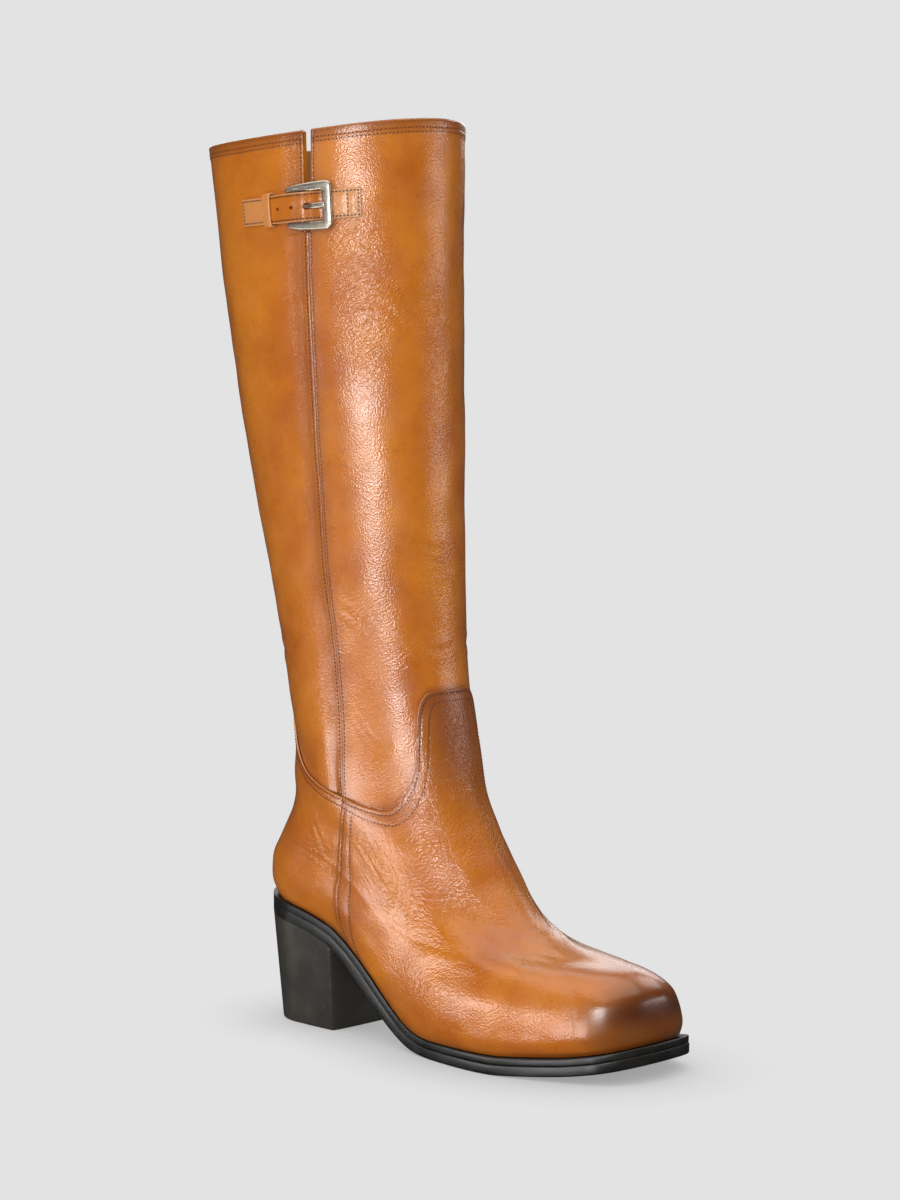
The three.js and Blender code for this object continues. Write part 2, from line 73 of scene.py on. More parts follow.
# Clearances and walls shared with the frame, in mm.
RIM_GAP = 0.55
OUTSOLE_THICK = 5.0
WELT_THICK = 3.6
GAP = 0.3
WALL_SHAFT = 2.2
LAP_INSIDE = 2.55  # how far out the foot piece's lining stands where it laps the leg
PER_DEGREE = math.pi / 180.0
STITCH_SINK = 0.06  # how far a row of stitches is drawn into the leather

# Underside of the sole, and the swing of the foot's centre line to the inner side: x, value.
SOLE_PROFILE = (
    (-5, 57.5), (25, 53), (52, 46), (62, 40.3), (72, 33), (82, 24.5), (92, 15.8), (100, 9.6),
    (108, 4.8), (116, 1.8), (124, 0.4), (132, 0), (170, 0), (190, 1.2), (209, 3), (227, 6), (241, 9.5),
)
SWING = ((-60, 0), (80, 0), (115, 1), (160, 5), (200, 10), (250, 16))

# Inside form of the boot, section by section up from the sole's edge.
SECTION_NAMES = (
    "back_x", "back_z", "front_x", "front_z", "bow", "follow", "heel", "waist_lat", "waist_med",
    "ball_lat", "ball_med", "toe_lat", "toe_med", "cap_back", "cap_front", "square",
)
SECTIONS = (
    (0, -1, 66.3, 233.5, 17.2, 1, 1, 26.5, 29.5, 20, 40, 35.5, 31.5, 31, 28, 31, 2.5),
    (9, -3.5, 75, 235.5, 26, 1, 0.97, 29, 32.5, 24, 43.2, 38, 33.5, 33, 30, 32, 2.5),
    (20, -2, 85, 234, 38.5, 1, 0.88, 30.5, 34, 28, 42.5, 37, 31, 31, 30, 34, 2.5),
    (31, 3, 95, 222.5, 47.5, 1, 0.72, 31, 34, 30, 37.5, 33, 26, 26, 31, 38, 2.3),
    (42, 8.5, 105, 195, 51, 1, 0.55, 31.5, 34, 31, 33, 30, 22, 22, 33, 44, 2.1),
    (54, 13, 115, 170, 61, 1, 0.4, 32, 34.5, 32.5, 31, 29.5, 24, 24, 35, 48, 2),
    (68, 15, 127, 151, 79, 1, 0.25, 32.5, 35, 34, 31, 30, 27, 27, 38, 50, 2),
    (84, 15, 139, 134, 101, 1, 0.12, 33, 36, 35.5, 33, 32, 30, 30, 44, 52, 2),
    (104, 14.5, 151, 120, 127, 1, 0.04, 35, 37, 37, 35.5, 35, 34, 34, 52, 54, 2),
    (130, 12, 168, 112, 158, 1, 0, 37.5, 38.5, 38.5, 38, 38, 37.5, 37.5, 54, 54, 2),
    (165, 8, 197, 106.5, 193, 1, 0, 40, 40, 40, 40, 40, 40, 40, 54, 54, 2),
    (230, -5, 259, 102, 257, 1.2, 0, 45.5, 45.5, 45.5, 45.5, 45.5, 45.5, 45.5, 58, 58, 2),
    (320, -24, 347, 100, 350, 1.5, 0, 51.5, 51.5, 51.5, 51.5, 51.5, 51.5, 51.5, 66, 66, 2),
    (428, -40, 448, 99, 460.5, 2, 0, 55.5, 55.5, 55.5, 55.5, 55.5, 55.5, 55.5, 72, 72, 2),
)


class Body(str, Enum):
    """Bodies of the frame."""

    ROOT = "root"


class Slot(str, Enum):
    """Material slots of the record."""

    LEATHER = "leather"
    LINING = "lining"
    SOLE = "sole_black"
    HEEL = "heel_black"
    NICKEL = "nickel"


# ---- Numbers --------------------------------------------------------------------------------


def ease(value: Array | float, low: float, high: float) -> Array:
    """Goes smoothly from 0 at low to 1 at high."""
    share = np.clip((np.asarray(value, float) - low) / (high - low), 0.0, 1.0)
    return share * share * (3.0 - 2.0 * share)


def bell(distance: Array | float, width: float) -> Array:
    """Gives 1 at no distance, falling to almost 0 at twice the width."""
    return np.exp(-((np.asarray(distance, float) / width) ** 2))


def monotone(at: Array, values: Array, where: Array) -> Array:
    """Reads a smooth curve that adds no wave between its rows.

    Args:
        at: Places of the rows, rising.
        values: Values at the rows along the last axis.
        where: Places to read.

    Returns:
        The values at those places.
    """
    step = np.diff(at)
    rise = np.diff(values, axis=-1) / step
    before, after = rise[..., :-1], rise[..., 1:]
    weight_before = 2.0 * step[1:] + step[:-1]
    weight_after = step[1:] + 2.0 * step[:-1]
    same = before * after > 0
    mixed = weight_before / np.where(same, before, 1.0) + weight_after / np.where(same, after, 1.0)
    inner = np.where(same, (weight_before + weight_after) / np.where(same, mixed, 1.0), 0.0)
    slope = np.concatenate([rise[..., :1], inner, rise[..., -1:]], axis=-1)
    place = np.clip(np.asarray(where, float), at[0], at[-1])
    i = np.clip(np.searchsorted(at, place, side="right") - 1, 0, len(at) - 2)
    span = step[i]
    u = (place - at[i]) / span
    full = place.shape + (len(at),)

    def pick(table: Array, index: Array) -> Array:
        """Takes one column of a table for each place."""
        return np.take_along_axis(np.broadcast_to(table, full), index[..., None], axis=-1)[..., 0]

    return (
        pick(values, i) * (2 * u**3 - 3 * u**2 + 1)
        + pick(slope, i) * span * (u**3 - 2 * u**2 + u)
        + pick(values, i + 1) * (3 * u**2 - 2 * u**3)
        + pick(slope, i + 1) * span * (u**3 - u**2)
    )


def run_length(points: Array) -> Array:
    """Gives the length along a line of points, up to each of them."""
    return np.concatenate([[0.0], np.cumsum(np.linalg.norm(np.diff(points, axis=0), axis=1))])


class Curve:
    """A smooth curve through the rows of a table."""

    def __init__(self, at: Sequence[float] | Array, values: Sequence[float] | Array) -> None:
        """Keeps the rows: their places, which rise, and their values."""
        self.at = np.asarray(at, float)
        self.values = np.asarray(values, float)

    @classmethod
    def of(cls, rows: Sequence[Sequence[float]]) -> Curve:
        """Makes a curve of rows that each hold a place and a value."""
        table = np.asarray(rows, float)
        return cls(table[:, 0], table[:, 1])

    def __call__(self, where: Array | float) -> Array:
        """Reads the curve."""
        return monotone(self.at, self.values, np.asarray(where, float))


class Swell:
    """Gentle irregular swelling through space, as a fixed sum of sine waves."""

    def __init__(self, seed: int, wavelength: float, count: int = 10) -> None:
        """Draws the waves.

        Args:
            seed: Seed of the fixed random choice.
            wavelength: Usual distance between crests, in mm.
            count: How many waves are added up.
        """
        rng = np.random.default_rng(seed)
        way = rng.normal(size=(count, 3))
        way /= np.linalg.norm(way, axis=1, keepdims=True)
        self.waves = way * (TURN / wavelength) * rng.uniform(0.65, 1.5, (count, 1))
        self.phases = rng.uniform(0.0, TURN, count)

    def __call__(self, points: Array) -> Array:
        """Reads the swelling, mostly between -1 and 1."""
        total = np.zeros(points.shape[:-1])
        for wave, phase in zip(self.waves, self.phases):
            total += np.sin(points @ wave + phase)
        return total / math.sqrt(len(self.phases))


class Nearest:
    """Distances from points to a set of lines."""

    def __init__(self, lines: Sequence[Array], step: float = 0.25) -> None:
        """Samples the lines.

        Args:
            lines: Lines as rows of points, in mm.
            step: Spacing of the samples, in mm.
        """
        samples = []
        for line in lines:
            length = run_length(line)
            at = np.linspace(0.0, length[-1], max(2, int(length[-1] / step)))
            samples.append(np.stack([np.interp(at, length, line[:, k]) for k in range(3)], axis=-1))
        cloud = np.concatenate(samples)
        self.tree = KDTree(len(cloud))
        for number, point in enumerate(cloud.tolist()):
            self.tree.insert(point, number)
        self.tree.balance()

    def __call__(self, points: Array) -> Array:
        """Gives the distance from each point to the nearest line."""
        flat = points.reshape(-1, 3).tolist()
        find = self.tree.find
        return np.array([find(point)[2] for point in flat]).reshape(points.shape[:-1])


# ---- The boot's form ------------------------------------------------------------------------


class BootForm:
    """Inside form of the boot, the same as the frame's."""

    widths_at = np.array([0.1, 0.42, 0.72, 0.92])  # heel, waist, ball and toe, as shares of the length
    swing_levels = 90.0  # level above which the leg no longer swings inward
    edge_levels = 12.0  # levels that still follow the sole's edge

    def __init__(self) -> None:
        """Makes the curves through the form's tables."""
        self.sole_bottom = Curve.of(SOLE_PROFILE)
        self.swing = Curve.of(SWING)
        table = np.asarray(SECTIONS, float)
        self.top_level = float(table[-1, 0])
        self.columns = {name: Curve(table[:, 0], table[:, i + 1]) for i, name in enumerate(SECTION_NAMES)}

    def above_sole(self, x: Array, distance: Array | float) -> Array:
        """Gives the height of a line that runs a distance square to the sole's underside."""
        slope = (self.sole_bottom(x + 1.0) - self.sole_bottom(x - 1.0)) / 2.0
        return self.sole_bottom(x) + distance * np.hypot(1.0, slope)

    def sole_top(self, x: Array) -> Array:
        """Gives the height of the foot piece's lower edge."""
        return self.above_sole(x, OUTSOLE_THICK + WELT_THICK + GAP + RIM_GAP)

    @staticmethod
    def end_round(distance: Array, cap: Array | float, power: Array | float) -> Array:
        """Gives 1 farther than the cap's length from an end, falling to 0 at the end itself."""
        inward = np.clip((cap - np.maximum(distance, 0.0)) / cap, 0.0, 1.0)
        return np.maximum(1.0 - inward**power, 0.0) ** (1.0 / power)

    def plan(
        self, sizes: dict[str, Array | float], angle: Array, inset: float = 0.0
    ) -> tuple[Array, Array, Array]:
        """Draws an outline in plan.

        Args:
            sizes: Sizes of the outline, by name.
            angle: Angles round from the back, in radians.
            inset: How far inside the outline, in mm.

        Returns:
            Share of the way to the front, x, and y from the centre line.
        """
        t = (1.0 - np.cos(angle)) / 2.0
        lateral = np.sin(angle) >= 0.0
        back_x, front_x = sizes["back_x"] + inset, sizes["front_x"] - inset
        length = front_x - back_x
        x = back_x + length * t
        back = self.end_round(x - back_x, np.minimum(sizes["cap_back"] - inset, length / 2.0), 2.0)
        cap = np.minimum(sizes["cap_front"] - inset, length / 2.0)
        front = self.end_round(front_x - x, cap, sizes["square"])
        halves = [np.broadcast_to(sizes["heel"], t.shape)]
        for part in ("waist", "ball", "toe"):
            halves.append(np.where(lateral, sizes[part + "_lat"], sizes[part + "_med"]))
        half = monotone(self.widths_at, np.stack(halves, axis=-1), t)
        half = np.maximum(half - inset, 0.0) * back * front
        return t, x, np.where(lateral, -half, half)

    def point(self, angle: Array | float, level: Array | float) -> Array:
        """Gives points of the form.

        Args:
            angle: Angles round from the back, in radians.
            level: Levels up the side.

        Returns:
            Points in mm.
        """
        angle, level = np.broadcast_arrays(np.asarray(angle, float), np.asarray(level, float))
        s = {name: curve(level) for name, curve in self.columns.items()}
        t, x, y = self.plan(s, angle)
        chord = s["back_z"] + (s["front_z"] - s["back_z"]) * t ** s["bow"]
        ends = self.sole_top(s["back_x"]) * (1.0 - t) + self.sole_top(s["front_x"]) * t
        z = chord + s["follow"] * (self.sole_top(x) - ends)
        sideways = self.swing(x) * np.maximum(1.0 - level / self.swing_levels, 0.0)
        return np.stack([x, sideways + y, z], axis=-1)

    def normal(self, angle: Array | float, level: Array | float) -> Array:
        """Gives outward directions, level with the floor at the sole's edge."""
        angle, level = np.broadcast_arrays(np.asarray(angle, float), np.asarray(level, float))
        around = self.point(angle + 0.01, level) - self.point(angle - 0.01, level)
        up = self.point(angle, np.minimum(level + 1.0, self.top_level))
        up -= self.point(angle, np.maximum(level - 1.0, 0.0))
        out = np.cross(around, up)
        out /= np.linalg.norm(out, axis=-1, keepdims=True)
        out[..., 2] *= np.minimum(level / self.edge_levels, 1.0)
        return out / np.linalg.norm(out, axis=-1, keepdims=True)

    def offset(self, angle: Array | float, level: Array | float, distance: Array | float) -> Array:
        """Gives points at a distance out from the form.

        Args:
            angle: Angles round from the back, in radians.
            level: Levels up the side.
            distance: Distances outward, in mm.

        Returns:
            Points in mm, which keep to the sole's curve next to the sole.
        """
        start = self.point(angle, level)
        moved = start + self.normal(angle, level) * np.asarray(distance, float)[..., None]
        change = self.sole_top(moved[..., 0]) - self.sole_top(start[..., 0])
        moved[..., 2] += change * np.maximum(1.0 - np.asarray(level, float) / self.edge_levels, 0.0)
        return moved

    def around_rate(self, angle: Array, level: Array) -> Array:
        """Gives the distance covered for each radian round a section."""
        across = self.point(angle + 0.01, level) - self.point(angle - 0.01, level)
        return np.linalg.norm(across, axis=-1) / 0.02


FORM = BootForm()


# ---- Meshes ---------------------------------------------------------------------------------


def new_object(name: str, data: bpy.types.ID) -> Piece:
    """Makes an object of a mesh, a lamp or a camera and puts it in the scene."""
    made = bpy.data.objects.new(name, data)
    bpy.context.scene.collection.objects.link(made)
    return made


class Shell:
    """Grids of points that are joined into one closed mesh with fields and surface coordinates."""

    # The burnish field holds real burnish and also painted shade along joints between pieces.
    fields = ("burnish", "ripple", "channel", "redden", "toe", "raw")

    def __init__(self) -> None:
        """Starts with nothing."""
        self.points: list[Array] = []
        self.values: dict[str, list[Array]] = {name: [] for name in self.fields}
        self.faces: list[list[int]] = []
        self.corners: list[list[list[float]]] = []
        self.slots: list[int] = []
        self.count = 0

    def add(self, grid: Array, **values: Array) -> Array:
        """Adds a grid of points.

        Args:
            grid: Points in mm, in rows and columns.
            **values: Fields on those points, by name.

        Returns:
            The points' numbers, in the same rows and columns.
        """
        shape = grid.shape[:-1]
        number = self.count + np.arange(int(np.prod(shape))).reshape(shape)
        self.points.append(grid.reshape(-1, 3))
        for name in self.fields:
            given = values.get(name)
            full = np.zeros(shape) if given is None else np.broadcast_to(given, shape)
            self.values[name].append(full.reshape(-1))
        self.count += number.size
        return number

    def skin(self, number: Array, slot: int = 0, place: Array | None = None, turned: bool = False) -> None:
        """Covers a grid of point numbers with faces.

        Args:
            number: Point numbers in rows and columns; a number may come more than once.
            slot: Material slot of the faces.
            place: Surface coordinates in mm, in the same rows and columns.
            turned: Whether the faces look the other way.
        """
        if place is None:
            place = np.zeros(number.shape + (2,))
        quads = np.stack([number[:-1, :-1], number[:-1, 1:], number[1:, 1:], number[1:, :-1]], axis=-1)
        spots = np.stack([place[:-1, :-1], place[:-1, 1:], place[1:, 1:], place[1:, :-1]], axis=-2)
        for quad, spot in zip(quads.reshape(-1, 4).tolist(), spots.reshape(-1, 4, 2).tolist()):
            if len(set(quad)) < 4:
                kept = [k for k in range(4) if quad[k] != quad[k - 1]]
                quad, spot = [quad[k] for k in kept], [spot[k] for k in kept]
                if len(set(quad)) < 3:
                    continue
            if turned:
                quad, spot = quad[::-1], spot[::-1]
            self.faces.append(quad)
            self.corners.append(spot)
            self.slots.append(slot)

    def face(self, number: Sequence[int], slot: int = 0) -> None:
        """Adds one flat face."""
        self.faces.append([int(k) for k in number])
        self.corners.append([[0.0, 0.0]] * len(number))
        self.slots.append(slot)

    def tube(self, grid: Array, **values: Array) -> None:
        """Adds a tube of closed rings of points, with a flat face on each end."""
        number = self.add(grid, **values)
        self.skin(close_columns(number))
        self.face(number[0][::-1])
        self.face(number[-1])

    def build(self, name: str, materials: Sequence[Material], sharp: float) -> Piece:
        """Makes the object, with its faces outward.

        Args:
            name: Name of the object.
            materials: Its materials, by slot.
            sharp: Angle in degrees past which an edge stays sharp.

        Returns:
            The new object, in the frame's place.
        """
        points = np.concatenate(self.points)
        if self.volume(points) < 0.0:
            self.faces = [face[::-1] for face in self.faces]
            self.corners = [spot[::-1] for spot in self.corners]
        mesh = bpy.data.meshes.new(name)
        mesh.from_pydata(((points - ORIGIN) * MM).tolist(), [], self.faces)
        spots = np.concatenate([np.asarray(spot, float) for spot in self.corners])
        mesh.uv_layers.new(name="skin").data.foreach_set("uv", spots.reshape(-1))
        mesh.polygons.foreach_set("material_index", np.asarray(self.slots, np.int32))
        for field_name in self.fields:
            values = np.concatenate(self.values[field_name])
            if values.any():
                attribute = mesh.attributes.new(field_name, "FLOAT", "POINT")
                attribute.data.foreach_set("value", values.astype(np.float32))
        for material in materials:
            mesh.materials.append(material)
        mesh.polygons.foreach_set("use_smooth", np.ones(len(self.faces), bool))
        mesh.update()
        mesh.set_sharp_from_angle(angle=math.radians(sharp))
        return new_object(name, mesh)

    def volume(self, points: Array) -> float:
        """Gives the signed volume, which is negative when the faces look inward."""
        total = 0.0
        for size in (3, 4):
            same = np.array([face for face in self.faces if len(face) == size], int)
            if not len(same):
                continue
            for k in range(1, size - 1):
                a, b, c = points[same[:, 0]], points[same[:, k]], points[same[:, k + 1]]
                total += float(np.einsum("ij,ij->i", a, np.cross(b, c)).sum())
        return total / 6.0


def close_columns(number: Array) -> Array:
    """Joins the last column of a grid of point numbers to its first."""
    return np.concatenate([number, number[:, :1]], axis=1)


def clustered(low: float, high: float, step: float, near: Sequence[float]) -> Array:
    """Spaces places along a length, closer together at its two ends.

    Args:
        low: Start of the length.
        high: End of the length.
        step: Usual spacing.
        near: Distances from each end of the extra places, rising from 0.

    Returns:
        The places, rising.
    """
    ends = np.asarray(near, float)
    middle = high - low - 2.0 * ends[-1]
    count = max(2, int(round(middle / step)) + 1)
    inside = np.linspace(low + ends[-1], high - ends[-1], count)
    return np.concatenate([low + ends[:-1], inside, high - ends[:-1][::-1]])


def signed_power(value: Array, power: float) -> Array:
    """Raises the size of a value to a power and keeps its sign, which squares off a circle."""
    return np.sign(value) * np.abs(value) ** power


def follow(points: Array, count: int) -> Array:
    """Draws a smooth line through points.

    Args:
        points: Points that the line passes through.
        count: How many points the line gets.

    Returns:
        The line's points.
    """
    length = run_length(points)
    at = np.linspace(0.0, length[-1], count)
    return np.stack([monotone(length, points[:, k], at) for k in range(points.shape[1])], axis=-1)


# ---- Finishes -------------------------------------------------------------------------------


def linear(code: str) -> tuple[float, float, float, float]:
    """Turns an sRGB hex colour to linear light.

    Args:
        code: Six hex digits after a hash.

    Returns:
        Red, green, blue and a full alpha.
    """
    parts = [int(code[k : k + 2], 16) / 255.0 for k in (1, 3, 5)]
    light = [c / 12.92 if c <= 0.04045 else ((c + 0.055) / 1.055) ** 2.4 for c in parts]
    return (light[0], light[1], light[2], 1.0)


def scale_of(size_mm: float) -> float:
    """Gives the scale of a pattern on object coordinates that has a real size in mm."""
    return 1.0 / (size_mm * MM)


def add_node(tree: Tree, kind: str, inputs: dict | None = None, **settings: object) -> bpy.types.Node:
    """Adds a node with its settings, and sets or links its inputs.

    Args:
        tree: Tree that gets the node.
        kind: Type name of the node.
        inputs: By name or number: a value, a socket, or a node that gives its first output.
        **settings: Properties of the node.

    Returns:
        The new node.
    """
    node = tree.nodes.new(kind)
    for name, value in settings.items():
        setattr(node, name, value)
    for key, value in (inputs or {}).items():
        if isinstance(value, bpy.types.Node):
            value = value.outputs[0]
        if isinstance(value, bpy.types.NodeSocket):
            tree.links.new(value, node.inputs[key])
        else:
            node.inputs[key].default_value = value
    return node


def blend_colours(tree: Tree, share: object, first: object, second: object) -> Socket:
    """Goes from one hex colour or socket to another by a share, and gives the mixed colour."""
    ends = [linear(end) if isinstance(end, str) else end for end in (first, second)]
    return add_node(tree, "ShaderNodeMix", {0: share, 6: ends[0], 7: ends[1]}, data_type="RGBA").outputs[2]


@dataclass(frozen=True)
class Finish:
    """A finish of the boot or its studio; each kind gives its own shader."""

    name: str

    def build(self) -> Material:
        """Makes the material."""
        material = bpy.data.materials.new(self.name)
        material.use_nodes = True
        tree = material.node_tree
        tree.nodes.clear()
        place = add_node(tree, "ShaderNodeTexCoord").outputs["Object"]
        add_node(tree, "ShaderNodeOutputMaterial", {"Surface": self.shader(tree, place)})
        return material

    def shader(self, tree: Tree, place: Socket) -> bpy.types.Node:
        """Makes the shader's nodes in a tree, round a socket of object coordinates."""
        raise NotImplementedError


@dataclass(frozen=True)
class PolishedCalf(Finish):
    """Polished calf leather, vegetable tanned and hand burnished.

    It gives the eye a warm cognac brown that is mottled where the dye took unevenly, a clear waxy gloss
    over a fine pebbled grain, and small wrinkles where the skin has been worked.
    """

    name: str = "polished_calf_cognac"
    pale: str = "#D47B12"
    deep: str = "#BD6209"
    # This darker brown paints the burnish and the flecks, and also painted shade along joints.
    red: str = "#99501F"
    burnt_and_shade: str = "#75380F"
    toe: str = "#491B08"
    raw: str = "#E2AC76"
    channel: str = "#6B3410"
    grain_mm: float = 0.85  # pebbles of the grain, drawn a little coarse so that they show
    pore_mm: float = 0.5
    wrinkle_mm: float = 1.15  # width of the fine wrinkles
    wrinkle_stretch: float = 3.6  # how much longer than wide a wrinkle is
    roughness: float = 0.3
    ior: float = 1.5
    wax: float = 0.55  # weight of the wax coat
    wax_on_toe: float = 0.28
    wax_roughness: float = 0.13
    wax_ior: float = 1.45

    def shader(self, tree: Tree, place: Socket) -> bpy.types.Node:
        """Makes the dyed leather under its coat of wax."""
        fields = {
            name: add_node(tree, "ShaderNodeAttribute", attribute_name=name).outputs["Fac"]
            for name in Shell.fields
        }
        bump = self.relief(tree, place, fields)
        wax = add_node(tree, "ShaderNodeMapRange", {0: fields["toe"], 3: self.wax, 4: self.wax_on_toe})
        inputs = {
            "Base Color": self.colour(tree, place, fields),
            "Roughness": self.gloss(tree, place, fields),
            "IOR": self.ior,
            "Coat Weight": wax,
            "Coat Roughness": self.wax_roughness,
            "Coat IOR": self.wax_ior,
            "Normal": bump,
            "Coat Normal": bump,
        }
        return add_node(tree, "ShaderNodeBsdfPrincipled", inputs)

    def colour(self, tree: Tree, place: Socket, fields: dict[str, Socket]) -> Socket:
        """Mixes the dye, the burnish that also paints shade along joints, and the cut edges.

        Args:
            tree: Tree of the material.
            place: Object coordinates.
            fields: Sockets of the leather's fields.

        Returns:
            The colour's socket.
        """
        cloud = {"Vector": place, "Scale": 28.0, "Detail": 3.0, "Roughness": 0.55}
        cloud = add_node(tree, "ShaderNodeTexNoise", cloud)
        cloud = add_node(tree, "ShaderNodeMapRange", {0: cloud, 1: 0.35, 2: 0.68})
        colour = blend_colours(tree, cloud, self.pale, self.deep)
        fleck = {"Vector": place, "Scale": 260.0, "Detail": 4.0, "Roughness": 0.6}
        fleck = add_node(tree, "ShaderNodeTexNoise", fleck)
        fleck = add_node(tree, "ShaderNodeMapRange", {0: fleck, 1: 0.56, 2: 0.78, 4: 0.3})
        colour = blend_colours(tree, fleck, colour, self.burnt_and_shade)
        layers = {
            "redden": self.red,
            "burnish": self.burnt_and_shade,
            "toe": self.toe,
            "channel": self.channel,
            "raw": self.raw,
        }
        for name, layer in layers.items():
            colour = blend_colours(tree, fields[name], colour, layer)
        return colour

    def relief(self, tree: Tree, place: Socket, fields: dict[str, Socket]) -> bpy.types.Node:
        """Raises the grain, and the wrinkles where the ripple field asks for them.

        Args:
            tree: Tree of the material.
            place: Object coordinates.
            fields: Sockets of the leather's fields.

        Returns:
            The node that gives the normal.
        """
        skin = add_node(tree, "ShaderNodeUVMap", uv_map="skin").outputs["UV"]
        pebble = {"Vector": place, "Scale": scale_of(self.grain_mm), "Smoothness": 0.6}
        pebble = add_node(tree, "ShaderNodeTexVoronoi", pebble, feature="SMOOTH_F1")
        pore = add_node(
            tree, "ShaderNodeTexNoise", {"Vector": place, "Scale": scale_of(self.pore_mm), "Detail": 2.0}
        )
        bend = {"Vector": skin, "Scale": 0.03, "Detail": 2.0}
        bend = add_node(tree, "ShaderNodeTexNoise", bend, noise_dimensions="2D")
        bent = {0: bend.outputs["Color"], 1: (16.0, 16.0, 0.0), 2: skin}
        bent = add_node(tree, "ShaderNodeVectorMath", bent, operation="MULTIPLY_ADD")
        lie = {"Vector": bent, "Rotation": (0.0, 0.0, 0.4), "Scale": (self.wrinkle_stretch, 1.0, 1.0)}
        lie = add_node(tree, "ShaderNodeMapping", lie, vector_type="TEXTURE")
        wrinkle = {"Vector": lie, "Scale": 1.0 / self.wrinkle_mm, "Detail": 1.6, "Roughness": 0.5}
        wrinkle = add_node(tree, "ShaderNodeTexNoise", wrinkle, noise_dimensions="2D")
        depth = add_node(tree, "ShaderNodeMath", {0: wrinkle, 1: fields["ripple"]}, operation="MULTIPLY")
        bump = add_node(tree, "ShaderNodeBump", {"Strength": 0.62, "Distance": 0.00075, "Height": depth})
        strength = add_node(tree, "ShaderNodeMapRange", {0: fields["ripple"], 3: 0.45, 4: 0.8})
        strength = add_node(tree, "ShaderNodeMapRange", {0: fields["toe"], 2: 0.6, 3: strength, 4: 0.12})
        for steepness, distance, height in ((strength, 0.00022, pebble), (0.18, 0.00008, pore)):
            raised = {"Strength": steepness, "Distance": distance, "Height": height, "Normal": bump}
            bump = add_node(tree, "ShaderNodeBump", raised)
        return bump

    def gloss(self, tree: Tree, place: Socket, fields: dict[str, Socket]) -> bpy.types.Node:
        """Varies the polish, and dulls the cut edges.

        Args:
            tree: Tree of the material.
            place: Object coordinates.
            fields: Sockets of the leather's fields.

        Returns:
            The node that gives the roughness.
        """
        rub = add_node(tree, "ShaderNodeTexNoise", {"Vector": place, "Scale": 70.0, "Detail": 3.0})
        rub = {0: rub, 1: 0.3, 2: 0.7, 3: self.roughness - 0.05, 4: self.roughness + 0.08}
        rub = add_node(tree, "ShaderNodeMapRange", rub)
        dull = {0: fields["raw"], 1: 0.35, 2: rub}
        return add_node(tree, "ShaderNodeMath", dull, operation="MULTIPLY_ADD")


@dataclass(frozen=True)
class CalfLining(Finish):
    """Calf lining leather, drum dyed and left matt.

    It gives the eye an even tan with a soft dry surface and faint pores, with no wax gloss.
    """

    name: str = "calf_lining_tan"
    pale: str = "#A9713C"
    deep: str = "#8A5527"
    pore_mm: float = 0.9
    roughness: float = 0.68

    def shader(self, tree: Tree, place: Socket) -> bpy.types.Node:
        """Makes the dry tan leather."""
        cloud = add_node(tree, "ShaderNodeTexNoise", {"Vector": place, "Scale": 40.0, "Detail": 4.0})
        pore = add_node(
            tree, "ShaderNodeTexNoise", {"Vector": place, "Scale": scale_of(self.pore_mm), "Detail": 2.0}
        )
        bump = add_node(tree, "ShaderNodeBump", {"Strength": 0.4, "Distance": 0.00015, "Height": pore})
        inputs = {
            "Base Color": blend_colours(tree, cloud, self.pale, self.deep),
            "Roughness": self.roughness,
            "IOR": 1.45,
            "Normal": bump,
        }
        return add_node(tree, "ShaderNodeBsdfPrincipled", inputs)


@dataclass(frozen=True)
class BlackEdge(Finish):
    """Leather sole edge or stacked heel, sanded, inked black and wax burnished.

    It gives the eye a near black with a soft satin sheen, faint streaks along the layers where it was
    sanded, and a little grey where the wax has rubbed thin.
    """

    ink: str = "#151412"
    rubbed: str = "#24211E"
    roughness: float = 0.34
    layer_mm: float = 1.1  # spacing of the sanding streaks

    def shader(self, tree: Tree, place: Socket) -> bpy.types.Node:
        """Makes the inked edge."""
        lie = add_node(tree, "ShaderNodeMapping", {"Vector": place, "Scale": (0.06, 0.06, 1.0)})
        streak = add_node(
            tree, "ShaderNodeTexNoise", {"Vector": lie, "Scale": scale_of(self.layer_mm), "Detail": 3.0}
        )
        cloud = add_node(tree, "ShaderNodeTexNoise", {"Vector": place, "Scale": 60.0, "Detail": 4.0})
        share = add_node(tree, "ShaderNodeMapRange", {0: cloud, 1: 0.45, 2: 0.75})
        gloss = {0: cloud, 1: 0.3, 2: 0.7, 3: self.roughness - 0.05, 4: self.roughness + 0.1}
        bump = add_node(tree, "ShaderNodeBump", {"Strength": 0.25, "Distance": 0.00012, "Height": streak})
        inputs = {
            "Base Color": blend_colours(tree, share, self.ink, self.rubbed),
            "Roughness": add_node(tree, "ShaderNodeMapRange", gloss),
            "IOR": 1.5,
            "Normal": bump,
        }
        return add_node(tree, "ShaderNodeBsdfPrincipled", inputs)


